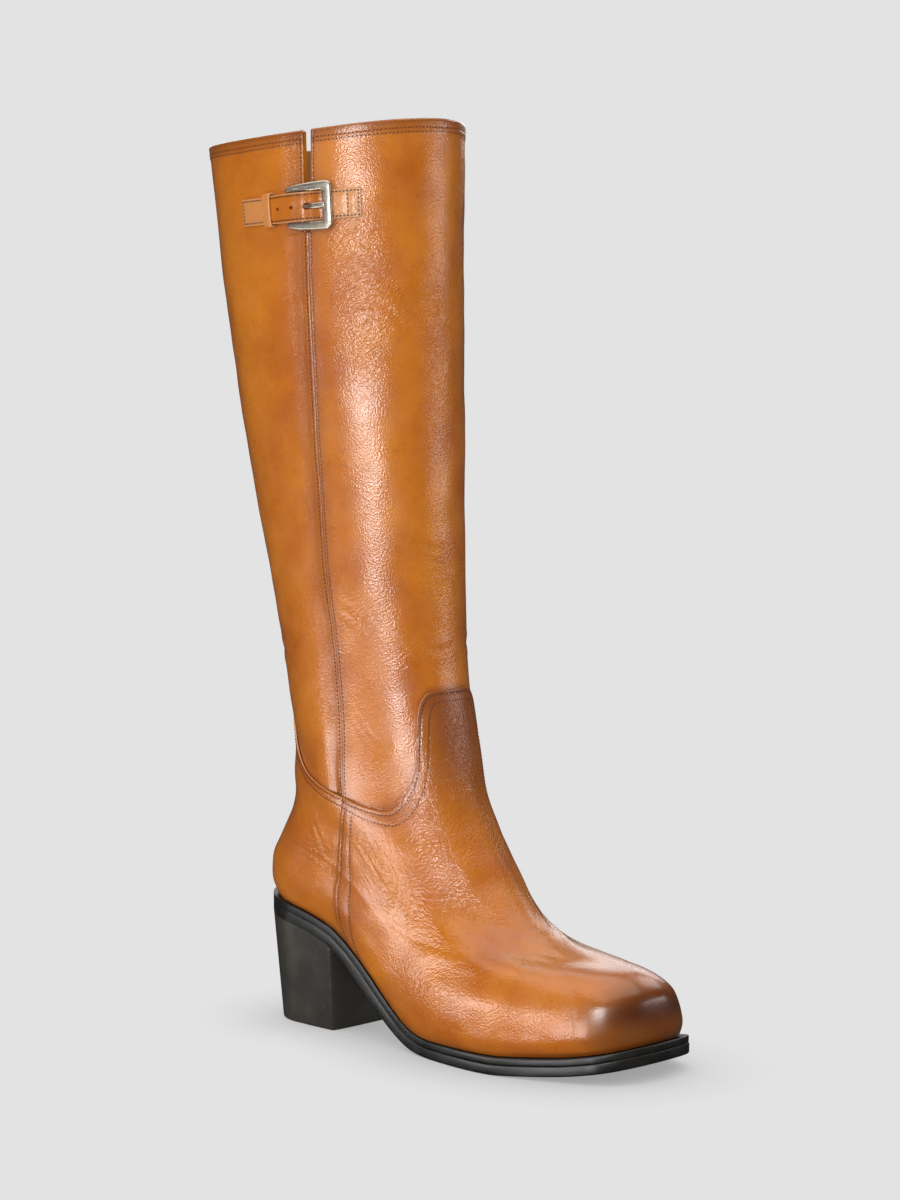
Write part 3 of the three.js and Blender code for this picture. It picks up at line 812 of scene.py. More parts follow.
@dataclass(frozen=True)
class BrushedNickel(Finish):
    """Nickel-plated zinc casting, tumbled and lightly brushed.

    It gives the eye a warm silver with soft highlights, fine scratches along the brushing and darker
    smudges where the plate has dulled.
    """

    name: str = "brushed_nickel_plate"
    bright: str = "#D2C9BA"
    dull: str = "#A09889"
    roughness: float = 0.36
    scratch_mm: float = 0.35

    def shader(self, tree: Tree, place: Socket) -> bpy.types.Node:
        """Makes the brushed plate."""
        lie = add_node(tree, "ShaderNodeMapping", {"Vector": place, "Scale": (0.12, 0.12, 1.0)})
        scratch = add_node(
            tree, "ShaderNodeTexNoise", {"Vector": lie, "Scale": scale_of(self.scratch_mm), "Detail": 3.0}
        )
        smudge = {"Vector": place, "Scale": 240.0, "Detail": 4.0, "Roughness": 0.6}
        smudge = add_node(tree, "ShaderNodeTexNoise", smudge)
        share = add_node(tree, "ShaderNodeMapRange", {0: smudge, 1: 0.45, 2: 0.72})
        gloss = {0: smudge, 1: 0.3, 2: 0.7, 3: self.roughness - 0.06, 4: self.roughness + 0.16}
        bump = add_node(tree, "ShaderNodeBump", {"Strength": 0.3, "Distance": 0.00004, "Height": scratch})
        inputs = {
            "Base Color": blend_colours(tree, share, self.bright, self.dull),
            "Metallic": 1.0,
            "Roughness": add_node(tree, "ShaderNodeMapRange", gloss),
            "Normal": bump,
        }
        return add_node(tree, "ShaderNodeBsdfPrincipled", inputs)


@dataclass(frozen=True)
class WaxedThread(Finish):
    """Twisted polyester thread, bonded and waxed.

    It gives the eye small satin beads in a brown a little darker than the leather, with the twist showing
    as fine unevenness.
    """

    name: str = "waxed_thread_brown"
    colour: str = "#5A2C10"
    shade: str = "#3A1A08"
    twist_mm: float = 0.3

    def shader(self, tree: Tree, place: Socket) -> bpy.types.Node:
        """Makes the thread."""
        twist = add_node(
            tree, "ShaderNodeTexNoise", {"Vector": place, "Scale": scale_of(self.twist_mm), "Detail": 1.0}
        )
        bump = add_node(tree, "ShaderNodeBump", {"Strength": 0.5, "Distance": 0.0001, "Height": twist})
        inputs = {
            "Base Color": blend_colours(tree, twist, self.colour, self.shade),
            "Roughness": 0.65,
            "Normal": bump,
        }
        return add_node(tree, "ShaderNodeBsdfPrincipled", inputs)


@dataclass(frozen=True)
class StudioPaper(Finish):
    """Matt paper sweep, evenly lit.

    It gives the eye one pale grey with only a faint shadow under the boot.
    """

    name: str = "studio_paper_pale"
    colour: str = PAPER_GREY
    contact_mm: float = 50.0  # how far from the boot its contact shadow reaches

    def shader(self, tree: Tree, place: Socket) -> bpy.types.Node:
        """Makes the paper, which darkens only close to the boot."""
        near = add_node(tree, "ShaderNodeAmbientOcclusion", {"Distance": self.contact_mm * MM}, samples=8)
        light = add_node(tree, "ShaderNodeMapRange", {0: near.outputs["AO"], 2: 0.96, 3: 0.42, 4: 1.0})
        return add_node(tree, "ShaderNodeEmission", {"Color": linear(self.colour), "Strength": light})


@dataclass(frozen=True)
class Palette:
    """Finishes of the boot, made once and shared by its pieces."""

    leather: Material
    lining: Material
    sole: Material
    heel: Material
    nickel: Material
    thread: Material

    @classmethod
    def make(cls) -> Palette:
        """Makes every finish."""
        return cls(
            leather=PolishedCalf().build(),
            lining=CalfLining().build(),
            sole=BlackEdge("inked_sole_edge").build(),
            heel=BlackEdge("inked_stacked_heel", "#3A3632", "#444039", 0.3).build(),
            nickel=BrushedNickel().build(),
            thread=WaxedThread().build(),
        )


# ---- Stitches -------------------------------------------------------------------------------


@dataclass
class StitchRows:
    """Rows of stitches, set along lines by one node tree."""

    pitch: float = 2.0
    length: float = 1.2
    thick: float = 0.5
    slant: float = 9.0  # degrees that each stitch turns from its row
    uneven: float = 3.0  # degrees that the slant varies by
    seed: int = 4
    lines: list[Array] = field(default_factory=list)
    outward: list[Array] = field(default_factory=list)

    def add(self, line: Array, outward: Array) -> None:
        """Adds one row, as points in mm and the outward directions there."""
        self.lines.append(line)
        self.outward.append(outward)

    def tree(self) -> Tree:
        """Makes the node tree that sews a stitch at every pitch along each line."""
        tree = bpy.data.node_groups.new("sewn_rows", "GeometryNodeTree")
        sockets = {
            "Lines": "Geometry",
            "Pitch": "Float",
            "Length": "Float",
            "Thickness": "Float",
            "Slant": "Float",
            "Unevenness": "Float",
            "Seed": "Int",
            "Thread": "Material",
        }
        for name, kind in sockets.items():
            tree.interface.new_socket(name, in_out="INPUT", socket_type="NodeSocket" + kind)
        tree.interface.new_socket("Stitches", in_out="OUTPUT", socket_type="NodeSocketGeometry")
        given = add_node(tree, "NodeGroupInput").outputs
        curve = add_node(tree, "GeometryNodeMeshToCurve", {"Mesh": given["Lines"]})
        spaced = add_node(
            tree, "GeometryNodeResampleCurve", {"Curve": curve, "Length": given["Pitch"]}, mode="LENGTH"
        )
        bead = add_node(tree, "GeometryNodeMeshUVSphere", {"Segments": 8, "Rings": 6, "Radius": 0.5})
        size = {0: given["Length"], 1: given["Thickness"], 2: given["Thickness"]}
        size = add_node(tree, "ShaderNodeCombineXYZ", size)
        bead = add_node(tree, "GeometryNodeTransform", {"Geometry": bead, "Scale": size})
        bead = add_node(tree, "GeometryNodeSetShadeSmooth", {"Geometry": bead})
        along = {"Vector": add_node(tree, "GeometryNodeInputTangent")}
        along = add_node(tree, "FunctionNodeAlignRotationToVector", along, axis="X")
        out = {"Name": "outward"}
        out = add_node(tree, "GeometryNodeInputNamedAttribute", out, data_type="FLOAT_VECTOR")
        upright = {"Rotation": along, "Vector": out}
        upright = add_node(tree, "FunctionNodeAlignRotationToVector", upright, axis="Z", pivot_axis="X")
        spread = {0: given["Slant"], 1: given["Unevenness"]}
        low = add_node(tree, "ShaderNodeMath", spread, operation="SUBTRACT")
        high = add_node(tree, "ShaderNodeMath", spread, operation="ADD")
        chance = {2: low, 3: high, "Seed": given["Seed"]}
        chance = add_node(tree, "FunctionNodeRandomValue", chance, data_type="FLOAT")
        lean = add_node(tree, "ShaderNodeCombineXYZ", {2: chance.outputs[1]})
        turned = add_node(tree, "FunctionNodeRotateRotation", {0: upright, 1: lean}, rotation_space="LOCAL")
        sewn = {"Points": spaced, "Instance": bead, "Rotation": turned}
        sewn = add_node(tree, "GeometryNodeInstanceOnPoints", sewn)
        sewn = add_node(tree, "GeometryNodeRealizeInstances", {0: sewn})
        sewn = add_node(tree, "GeometryNodeSetMaterial", {"Geometry": sewn, "Material": given["Thread"]})
        add_node(tree, "NodeGroupOutput", {0: sewn})
        return tree

    def build(self, name: str, thread: Material) -> Piece:
        """Sews the rows and makes them a plain mesh.

        Args:
            name: Name of the object.
            thread: Finish of the thread.

        Returns:
            The stitches.
        """
        points = np.concatenate(self.lines)
        edges, start = [], 0
        for line in self.lines:
            edges += [(start + k, start + k + 1) for k in range(len(line) - 1)]
            start += len(line)
        mesh = bpy.data.meshes.new(name + "_lines")
        mesh.from_pydata(((points - ORIGIN) * MM).tolist(), edges, [])
        attribute = mesh.attributes.new("outward", "FLOAT_VECTOR", "POINT")
        attribute.data.foreach_set("vector", np.concatenate(self.outward).astype(np.float32).reshape(-1))
        rows = new_object(mesh.name, mesh)
        modifier = rows.modifiers.new("sewing", "NODES")
        modifier.node_group = self.tree()
        values = {
            "Pitch": self.pitch * MM,
            "Length": self.length * MM,
            "Thickness": self.thick * MM,
            "Slant": math.radians(self.slant),
            "Unevenness": math.radians(self.uneven),
            "Seed": self.seed,
            "Thread": thread,
        }
        for item in modifier.node_group.interface.items_tree:
            if item.in_out == "INPUT" and item.name in values:
                modifier[item.identifier] = values[item.name]
        shown = bpy.context.evaluated_depsgraph_get()
        sewn = bpy.data.meshes.new_from_object(rows.evaluated_get(shown), depsgraph=shown)
        sewn.name = name
        bpy.data.objects.remove(rows)
        return new_object(name, sewn)


# ---- Pieces ---------------------------------------------------------------------------------


@dataclass(frozen=True)
class Crease:
    """One soft trough in the leather, with a low ridge on each side.

    Places are an angle in degrees and a level; width and depth are in mm.
    """

    path: tuple[tuple[float, float], ...]
    width: float
    depth: float

    def relief(self, points: Array, offset: float) -> Array:
        """Gives the crease's height at points of the leather.

        Args:
            points: Points of the leather, in mm.
            offset: How far the leather's face is out from the form.

        Returns:
            Heights in mm, negative in the trough.
        """
        rows = np.asarray(self.path, float)
        line = follow(rows, 24)
        spots = FORM.offset(np.radians(line[:, 0]), line[:, 1], offset)
        best = np.full(points.shape[:-1], 1e9)
        share = np.zeros(points.shape[:-1])
        for k, spot in enumerate(spots):
            distance = np.linalg.norm(points - spot, axis=-1)
            nearer = distance < best
            best = np.where(nearer, distance, best)
            share = np.where(nearer, k / (len(spots) - 1), share)
        fade = np.clip(np.sin(np.pi * share), 0.0, 1.0) ** 0.6
        trough = -bell(best, self.width) + 0.55 * bell(best - 2.1 * self.width, self.width)
        return self.depth * fade * trough


@dataclass(frozen=True)
class Patch:
    """A soft-edged patch on the leather: its place in degrees and level, its size in mm, its amount."""

    angle: float
    level: float
    wide: float
    high: float
    amount: float

    def at(self, angle: Array, level: Array) -> Array:
        """Gives the patch's strength at places given in degrees and levels."""
        rate = FORM.around_rate(np.radians(self.angle), np.asarray(float(self.level)))
        across = np.radians(angle - self.angle) * float(rate) / self.wide
        return self.amount * np.exp(-(across**2) - ((level - self.level) / self.high) ** 2)


def patches_at(patches: Sequence[Patch], angle: Array, level: Array) -> Array:
    """Adds patches up, to 1 at most.

    Args:
        patches: The patches.
        angle: Angles in degrees.
        level: Levels.

    Returns:
        The strength.
    """
    total = np.zeros(np.broadcast_shapes(angle.shape, level.shape))
    for patch in patches:
        total += patch.at(angle, level)
    return np.clip(total, 0.0, 1.0)


@dataclass
class Leg:
    """The leg piece: a tube of lined leather with a side seam, a slit and a turned collar."""

    foot_level: float = 78.0
    step: float = 1.5
    columns: int = 250
    lining_rows: int = 60  # below the slit
    skin_length: float = 340.0  # surface coordinate all the way round
    rim_radius: float = 1.1
    near_seam: tuple[float, ...] = (0, 0.3, 0.6, 0.9, 1.2, 1.45, 1.75, 2.15, 2.8, 3.6, 4.7, 6.2)
    slit_bottom: float = 404.0
    slit_width: tuple[float, float] = (2.6, 4.4)
    slit_top: float = 470.0
    row_from_edge: float = 1.45
    first_stitch: float = 86.0  # level of the seam rows' lower end
    collar_rows: tuple[float, float] = (4.4, 6.4)
    seam_x: tuple[tuple[float, float], ...] = (  # height, x
        (118, 72.5), (124, 72.7), (151, 73.2), (197, 71), (243, 66.9), (322, 64.4), (400, 62.3),
        (470, 62.3),
    )
    ripples: tuple[Patch, ...] = (
        Patch(134, 368, 16, 22, 0.8), Patch(150, 345, 18, 26, 0.75), Patch(140, 318, 14, 18, 0.6),
        Patch(120, 345, 12, 22, 0.35), Patch(172, 338, 16, 20, 0.7), Patch(180, 300, 14, 30, 0.5),
        Patch(176, 215, 13, 16, 0.85), Patch(182, 192, 10, 14, 0.6), Patch(126, 188, 14, 12, 0.75),
        Patch(160, 168, 22, 10, 0.6), Patch(112, 134, 9, 10, 0.7), Patch(128, 104, 12, 12, 0.45),
        Patch(66, 330, 18, 26, 0.3), Patch(95, 306, 9, 40, 0.35), Patch(235, 300, 22, 30, 0.4),
        Patch(250, 190, 20, 18, 0.5), Patch(215, 170, 18, 12, 0.5),
    )
    creases: tuple[Crease, ...] = (
        Crease(((109, 142), (114, 134), (119, 127), (125, 122)), 1.1, 0.28),
        Crease(((108.5, 136), (113, 128), (119, 120)), 1.0, 0.22),
        Crease(((119, 256), (125, 255), (130, 255.5)), 0.9, 0.22),
        Crease(((111, 196), (118, 193), (126, 184), (131, 176)), 1.4, 0.3),
        Crease(((111, 189), (118, 185), (125, 177)), 1.3, 0.26),
        Crease(((152, 228), (163, 226), (176, 221), (188, 224)), 1.5, 0.3),
        Crease(((158, 220), (170, 216), (183, 214)), 1.4, 0.28),
        Crease(((150, 176), (162, 172), (176, 170), (190, 172)), 1.8, 0.35),
        Crease(((146, 167), (158, 164), (172, 161)), 1.6, 0.3),
        Crease(((140, 345), (152, 336), (160, 326)), 1.6, 0.25),
        Crease(((150, 352), (160, 342), (170, 334)), 1.6, 0.25),
        Crease(((200, 175), (222, 170), (245, 172)), 2.0, 0.35),
        Crease(((20, 168), (40, 163), (62, 158)), 2.2, 0.35),
    )

    def __post_init__(self) -> None:
        """Finds the seam's angle at every level."""
        self.swell = Swell(11, 55.0)
        self.fine_swell = Swell(23, 21.0)
        self.seam_curve = Curve.of(self.seam_x)
        self.seam_levels = np.linspace(self.foot_level, FORM.top_level, 140)
        straight = np.zeros(self.seam_levels.shape)
        self.seam_angles = self.angle_at_seam(self.seam_levels, straight, WALL_SHAFT)
        middle = self.on_seam(self.seam_levels)
        self.slit_level = float(np.interp(self.slit_bottom, middle[:, 2], self.seam_levels))

    def angle_at_seam(self, levels: Array, aside: Array, distance: float) -> Array:
        """Finds where the seam's line, moved along x, crosses each level.

        Args:
            levels: Levels up the leg.
            aside: How far the line is moved toward the toe at each level.
            distance: Offset of the face from the form.

        Returns:
            Angles in radians.
        """
        degrees = np.arange(60.0, 140.01, 0.5)
        spots = FORM.offset(np.radians(degrees)[None, :], levels[:, None], distance)
        past = spots[..., 0] - self.seam_curve(spots[..., 2]) - aside[:, None]
        found = [np.interp(0.0, row, degrees) for row in past]
        return np.radians(np.array(found))

    def on_seam(self, levels: Array) -> Array:
        """Gives points of the leather's face on the seam."""
        angles = np.interp(levels, self.seam_levels, self.seam_angles)
        return FORM.offset(angles, levels, WALL_SHAFT)

    def half_gap(self, levels: Array) -> Array:
        """Gives half the slit's width at each level, which is 0 below the slit."""
        up = self.on_seam(levels)[:, 2] - self.slit_bottom
        low, high = self.slit_width
        full = low + (high - low) * np.clip(up / (self.slit_top - self.slit_bottom), 0.0, 1.0)
        close = np.clip((low / 2.0 - up) / (low / 2.0), 0.0, 1.0)
        return np.where(levels > self.slit_level + 1e-6, full / 2.0 * np.sqrt(1.0 - close**2), 0.0)

    def levels(self) -> Array:
        """Gives the levels of the outer face's rows, closer at the slit's end and the collar."""
        slit = self.slit_level
        count = int((slit - self.foot_level) / self.step)
        below = np.linspace(self.foot_level, slit, count + 1)
        near = slit + np.array([0.12, 0.35, 0.7, 1.2])
        top = FORM.top_level - self.rim_radius
        rows = np.arange(slit + 2.0, top - 8.6, self.step)
        collar = np.linspace(top - 8.0, top, 14)
        return np.concatenate([below, near, rows, collar])

    def angles(self, levels: Array, distance: float) -> tuple[Array, Array]:
        """Gives the angles of the columns at each level, from one side of the seam to the other.

        Args:
            levels: Levels of the rows.
            distance: Offset of the face from the form.

        Returns:
            Angles in radians, and each point's distance from the seam's edge, in rows and columns.
        """
        gap = self.half_gap(levels)
        start = self.angle_at_seam(levels, gap, distance)[:, None]
        end = self.angle_at_seam(levels, -gap, distance)[:, None] + TURN
        rate = FORM.around_rate(start, levels[:, None])
        near = np.asarray(self.near_seam)[None, :]
        inside = np.linspace(0.0, 1.0, self.columns - 2 * len(self.near_seam) + 2)[None, :]
        first, last = start + near[:, -1:] / rate, end - near[:, -1:] / rate
        middle = first + (last - first) * inside
        near = near[:, :-1] / rate
        angle = np.concatenate([start + near, middle, end - near[:, ::-1]], axis=1)
        apart = np.minimum(angle - start, end - angle) * rate
        return angle, apart

    @staticmethod
    def behind_seam(angle: Array, apart: Array) -> Array:
        """Tells which points lie in the shallow hollow close behind the seam."""
        return (np.degrees(angle) > 200.0) & (apart < 40.0)

    def relief(self, angle: Array, level: Array, apart: Array) -> Array:
        """Gives the height of the outer face over its plain offset.

        Args:
            angle: Angles in radians.
            level: Levels, in the same shape.
            apart: Distances from the seam's edge.

        Returns:
            Heights in mm.
        """
        spots = FORM.point(angle, level)
        degrees = np.degrees(angle) % 360.0
        low = level < self.slit_level
        height = 0.3 * self.swell(spots) + 0.1 * self.fine_swell(spots)
        for crease in self.creases:
            height += crease.relief(spots, 0.0)
        ripple = patches_at(self.ripples, degrees, level)
        height += 0.1 * ripple * np.sin(level * 1.9 + 3.0 * self.fine_swell(spots))
        strap = bell((level - 389.5) / 12.0, 1.0) * ease(degrees, 50, 62) * (1 - ease(degrees, 134, 142))
        lap = 1.0 - ease(level, LAP.highest(degrees) + 1.0, LAP.highest(degrees) + 16.0)
        height = height * (1.0 - np.clip(strap * 1.4, 0.0, 1.0)) * (1.0 - lap) - 0.1 * lap
        behind = self.behind_seam(angle, apart)
        seam = 0.22 * bell(apart, 2.6) - 0.14 * bell(apart - self.row_from_edge, 0.4)
        seam -= np.where(behind, 0.55 * bell(apart - 5.0, 3.2), 0.2 * bell(apart - 5.5, 3.0))
        seam -= np.where(low, 0.32 * bell(apart, 0.34), 0.0) * (1.0 - 0.5 * lap)
        seam -= np.where(low, 0.0, 0.5 * np.clip(1.0 - apart / 0.6, 0.0, 1.0) ** 2)
        height += seam * np.where(low, 1.0, 0.75)
        under = FORM.top_level - level
        for row in self.collar_rows:
            height -= 0.12 * bell(under - row, 0.5)
        return height + 0.16 * (1.0 - ease(under, 6.8, 8.4)) + 0.1 * bell(under - 5.4, 0.8)

    def face(self, angle: Array, level: Array, apart: Array) -> Array:
        """Gives points of the finished outer face."""
        return FORM.offset(angle, level, WALL_SHAFT + self.relief(angle, level, apart))

    def build(self, palette: Palette, rows: StitchRows) -> Piece:
        """Builds the leg piece and lays out its stitches.

        Args:
            palette: Finishes.
            rows: Stitches that the leg's own rows are added to.

        Returns:
            The leg piece.
        """
        shell = Shell()
        levels = self.levels()
        angle, apart = self.angles(levels, WALL_SHAFT)
        level = np.broadcast_to(levels[:, None], angle.shape)
        height = self.relief(angle, level, apart)
        face = FORM.offset(angle, level, WALL_SHAFT + height)
        fields = self.fields(angle, level, apart)
        outer = shell.add(face, **fields)

        # The collar's edge is turned over in a half round.
        sweep = np.linspace(0.0, math.pi, 9)[1:-1, None]
        rim_out = self.rim_radius + (self.rim_radius + height[-1:]) * np.cos(sweep)
        rim_angle = np.repeat(angle[-1:], len(sweep), axis=0)
        rim_points = FORM.offset(rim_angle, levels[-1], rim_out)
        rim_points[..., 2] += self.rim_radius * np.sin(sweep)
        rim = shell.add(rim_points, burnish=np.full(rim_angle.shape, 0.55))

        below = np.linspace(self.foot_level, self.slit_level, self.lining_rows)
        split = int(np.searchsorted(levels, self.slit_level - 1e-6))
        inner_levels = np.concatenate([below[:-1], levels[split:]])
        inner_angle, _ = self.angles(inner_levels, 0.0)
        inner = shell.add(FORM.offset(inner_angle, inner_levels[:, None], 0.0))

        # Below the slit the last column is the first one.
        outer[: split + 1, -1] = outer[: split + 1, 0]
        inner[: self.lining_rows, -1] = inner[: self.lining_rows, 0]
        around = np.arange(self.columns) * self.skin_length / self.columns
        place = np.stack(np.broadcast_arrays(around[None, :], level), axis=-1)
        shell.skin(outer, 0, place)
        edge = np.concatenate([outer[-1:], rim])
        shell.skin(edge, 0, place[-1:].repeat(len(edge), axis=0))
        shell.skin(np.concatenate([rim[-1:], inner[::-1], outer[:1]]), 1)
        self.close_slit(shell, outer[split:], rim, inner[self.lining_rows - 1 :])

        self.sew(rows)
        return shell.build("leg_leather", [palette.leather, palette.lining], 40.0)

    @staticmethod
    def close_slit(shell: Shell, outer: Array, rim: Array, inner: Array) -> None:
        """Joins the outer face to the lining along both edges of the slit.

        Args:
            shell: Shell that gets the faces.
            outer: Point numbers of the outer face from the slit's end up.
            rim: Point numbers of the collar's edge.
            inner: Point numbers of the lining from the slit's end up.
        """
        for column, turned in ((0, False), (-1, True)):
            band = np.stack([outer[:, column], inner[:, column]], axis=-1)
            shell.skin(band, turned=turned)
            cap = [outer[-1, column], *rim[:, column], inner[-1, column]]
            shell.face(cap[::-1] if turned else cap)

    def fields(self, angle: Array, level: Array, apart: Array) -> dict[str, Array]:
        """Gives the leather's fields: burnish that also paints shade along joints, ripple, stitch channels
        and reddening.

        Args:
            angle: Angles in radians.
            level: Levels.
            apart: Distances from the seam's edge.

        Returns:
            The fields by name.
        """
        degrees = np.degrees(angle) % 360.0
        low = level < self.slit_level
        under = FORM.top_level - level
        behind = self.behind_seam(angle, apart)
        channel = 0.28 * bell(apart - self.row_from_edge, 0.3)
        channel = np.maximum(channel, np.where(low, 0.8 * bell(apart, 0.26), 0.0))
        for row in self.collar_rows:
            channel = np.maximum(channel, 0.5 * bell(under - row, 0.3))
        burnish = 0.1 * bell(apart, 2.4)
        burnish += np.where(behind, 0.12 * bell(apart - 4.0, 5.0), 0.05 * bell(apart - 4.0, 3.0))
        burnish = burnish + 0.6 * (1.0 - ease(under, 0.0, 4.2)) + 0.16 * bell(under - 5.4, 2.0)
        lap = LAP.highest(degrees)
        # Darker band on the leg just above the foot piece's edge: burnish along the seam, and painted shade
        # in the corner.
        burnish += 0.4 * bell(level - lap - 0.5, 2.0)
        redden = np.where(behind, 0.4 * bell(apart - 4.0, 5.0), 0.5 * bell(apart, 4.0))
        redden += 0.45 * (1.0 - ease(under, 3.5, 8.0))
        return {
            "burnish": np.clip(burnish, 0.0, 0.85),
            "ripple": patches_at(self.ripples, degrees, level),
            "channel": channel,
            "redden": np.clip(redden, 0.0, 1.0),
        }

    def sew(self, rows: StitchRows) -> None:
        """Adds the seam's, the slit's and the collar's rows to the stitches."""
        top = FORM.top_level - self.collar_rows[0]
        dense = np.arange(self.first_stitch, top - 0.6, 0.7)
        gap = self.half_gap(dense)
        for side in (1.0, -1.0):
            edge = self.angle_at_seam(dense, side * gap, WALL_SHAFT)
            rate = FORM.around_rate(edge, dense)
            angle = edge + side * self.row_from_edge / rate
            apart = np.full(dense.shape, self.row_from_edge)
            rows.add(self.face(angle, dense, apart), FORM.normal(angle, dense))
        for row in self.collar_rows:
            level = FORM.top_level - row
            gap = self.half_gap(np.array([level]))
            start = self.angle_at_seam(np.array([level]), gap, WALL_SHAFT)[0]
            end = self.angle_at_seam(np.array([level]), -gap, WALL_SHAFT)[0] + TURN
            rate = float(FORM.around_rate(np.array(start), np.array(level)))
            inset = self.row_from_edge / rate
            angle = np.linspace(start + inset, end - inset, 400)
            apart = np.minimum(angle - start, end - angle) * rate
            flat = np.full(angle.shape, level)
            rows.add(self.face(angle, flat, apart), FORM.normal(angle, flat))


class LapLine:
    """Top edge of the foot piece over the leg piece, the same on both sides."""

    rows = (
        (0, 128), (16, 125), (30, 115), (42, 103), (53, 93), (63, 88), (77, 86.4), (90, 87.5), (103, 88.5),
        (116, 90.5), (127, 96.5), (136, 104), (144, 114), (148, 125), (151, 136), (154.5, 143.5),
        (161, 148.5), (170, 149.6), (180, 149.8),
    )

    def __init__(self) -> None:
        """Makes the curve of the edge."""
        self.curve = Curve.of(self.rows)

    def highest(self, degrees: Array) -> Array:
        """Gives the edge's level at angles in degrees."""
        turned = np.asarray(degrees, float) % 360.0
        return self.curve(np.minimum(turned, 360.0 - turned))

    def inside(self, degrees: Array, distance: float) -> tuple[Array, Array]:
        """Moves the edge's line into the foot piece.

        Args:
            degrees: Angles along the edge, in degrees.
            distance: How far inside, in mm.

        Returns:
            Angles in degrees and levels of the moved line.
        """
        level = self.highest(degrees)
        rate = FORM.around_rate(np.radians(degrees), level) * PER_DEGREE
        slope = (self.highest(degrees + 0.5) - self.highest(degrees - 0.5)) / rate
        tilt = np.hypot(1.0, slope)
        return degrees + distance * slope / tilt / rate, level - distance / tilt


LAP = LapLine()


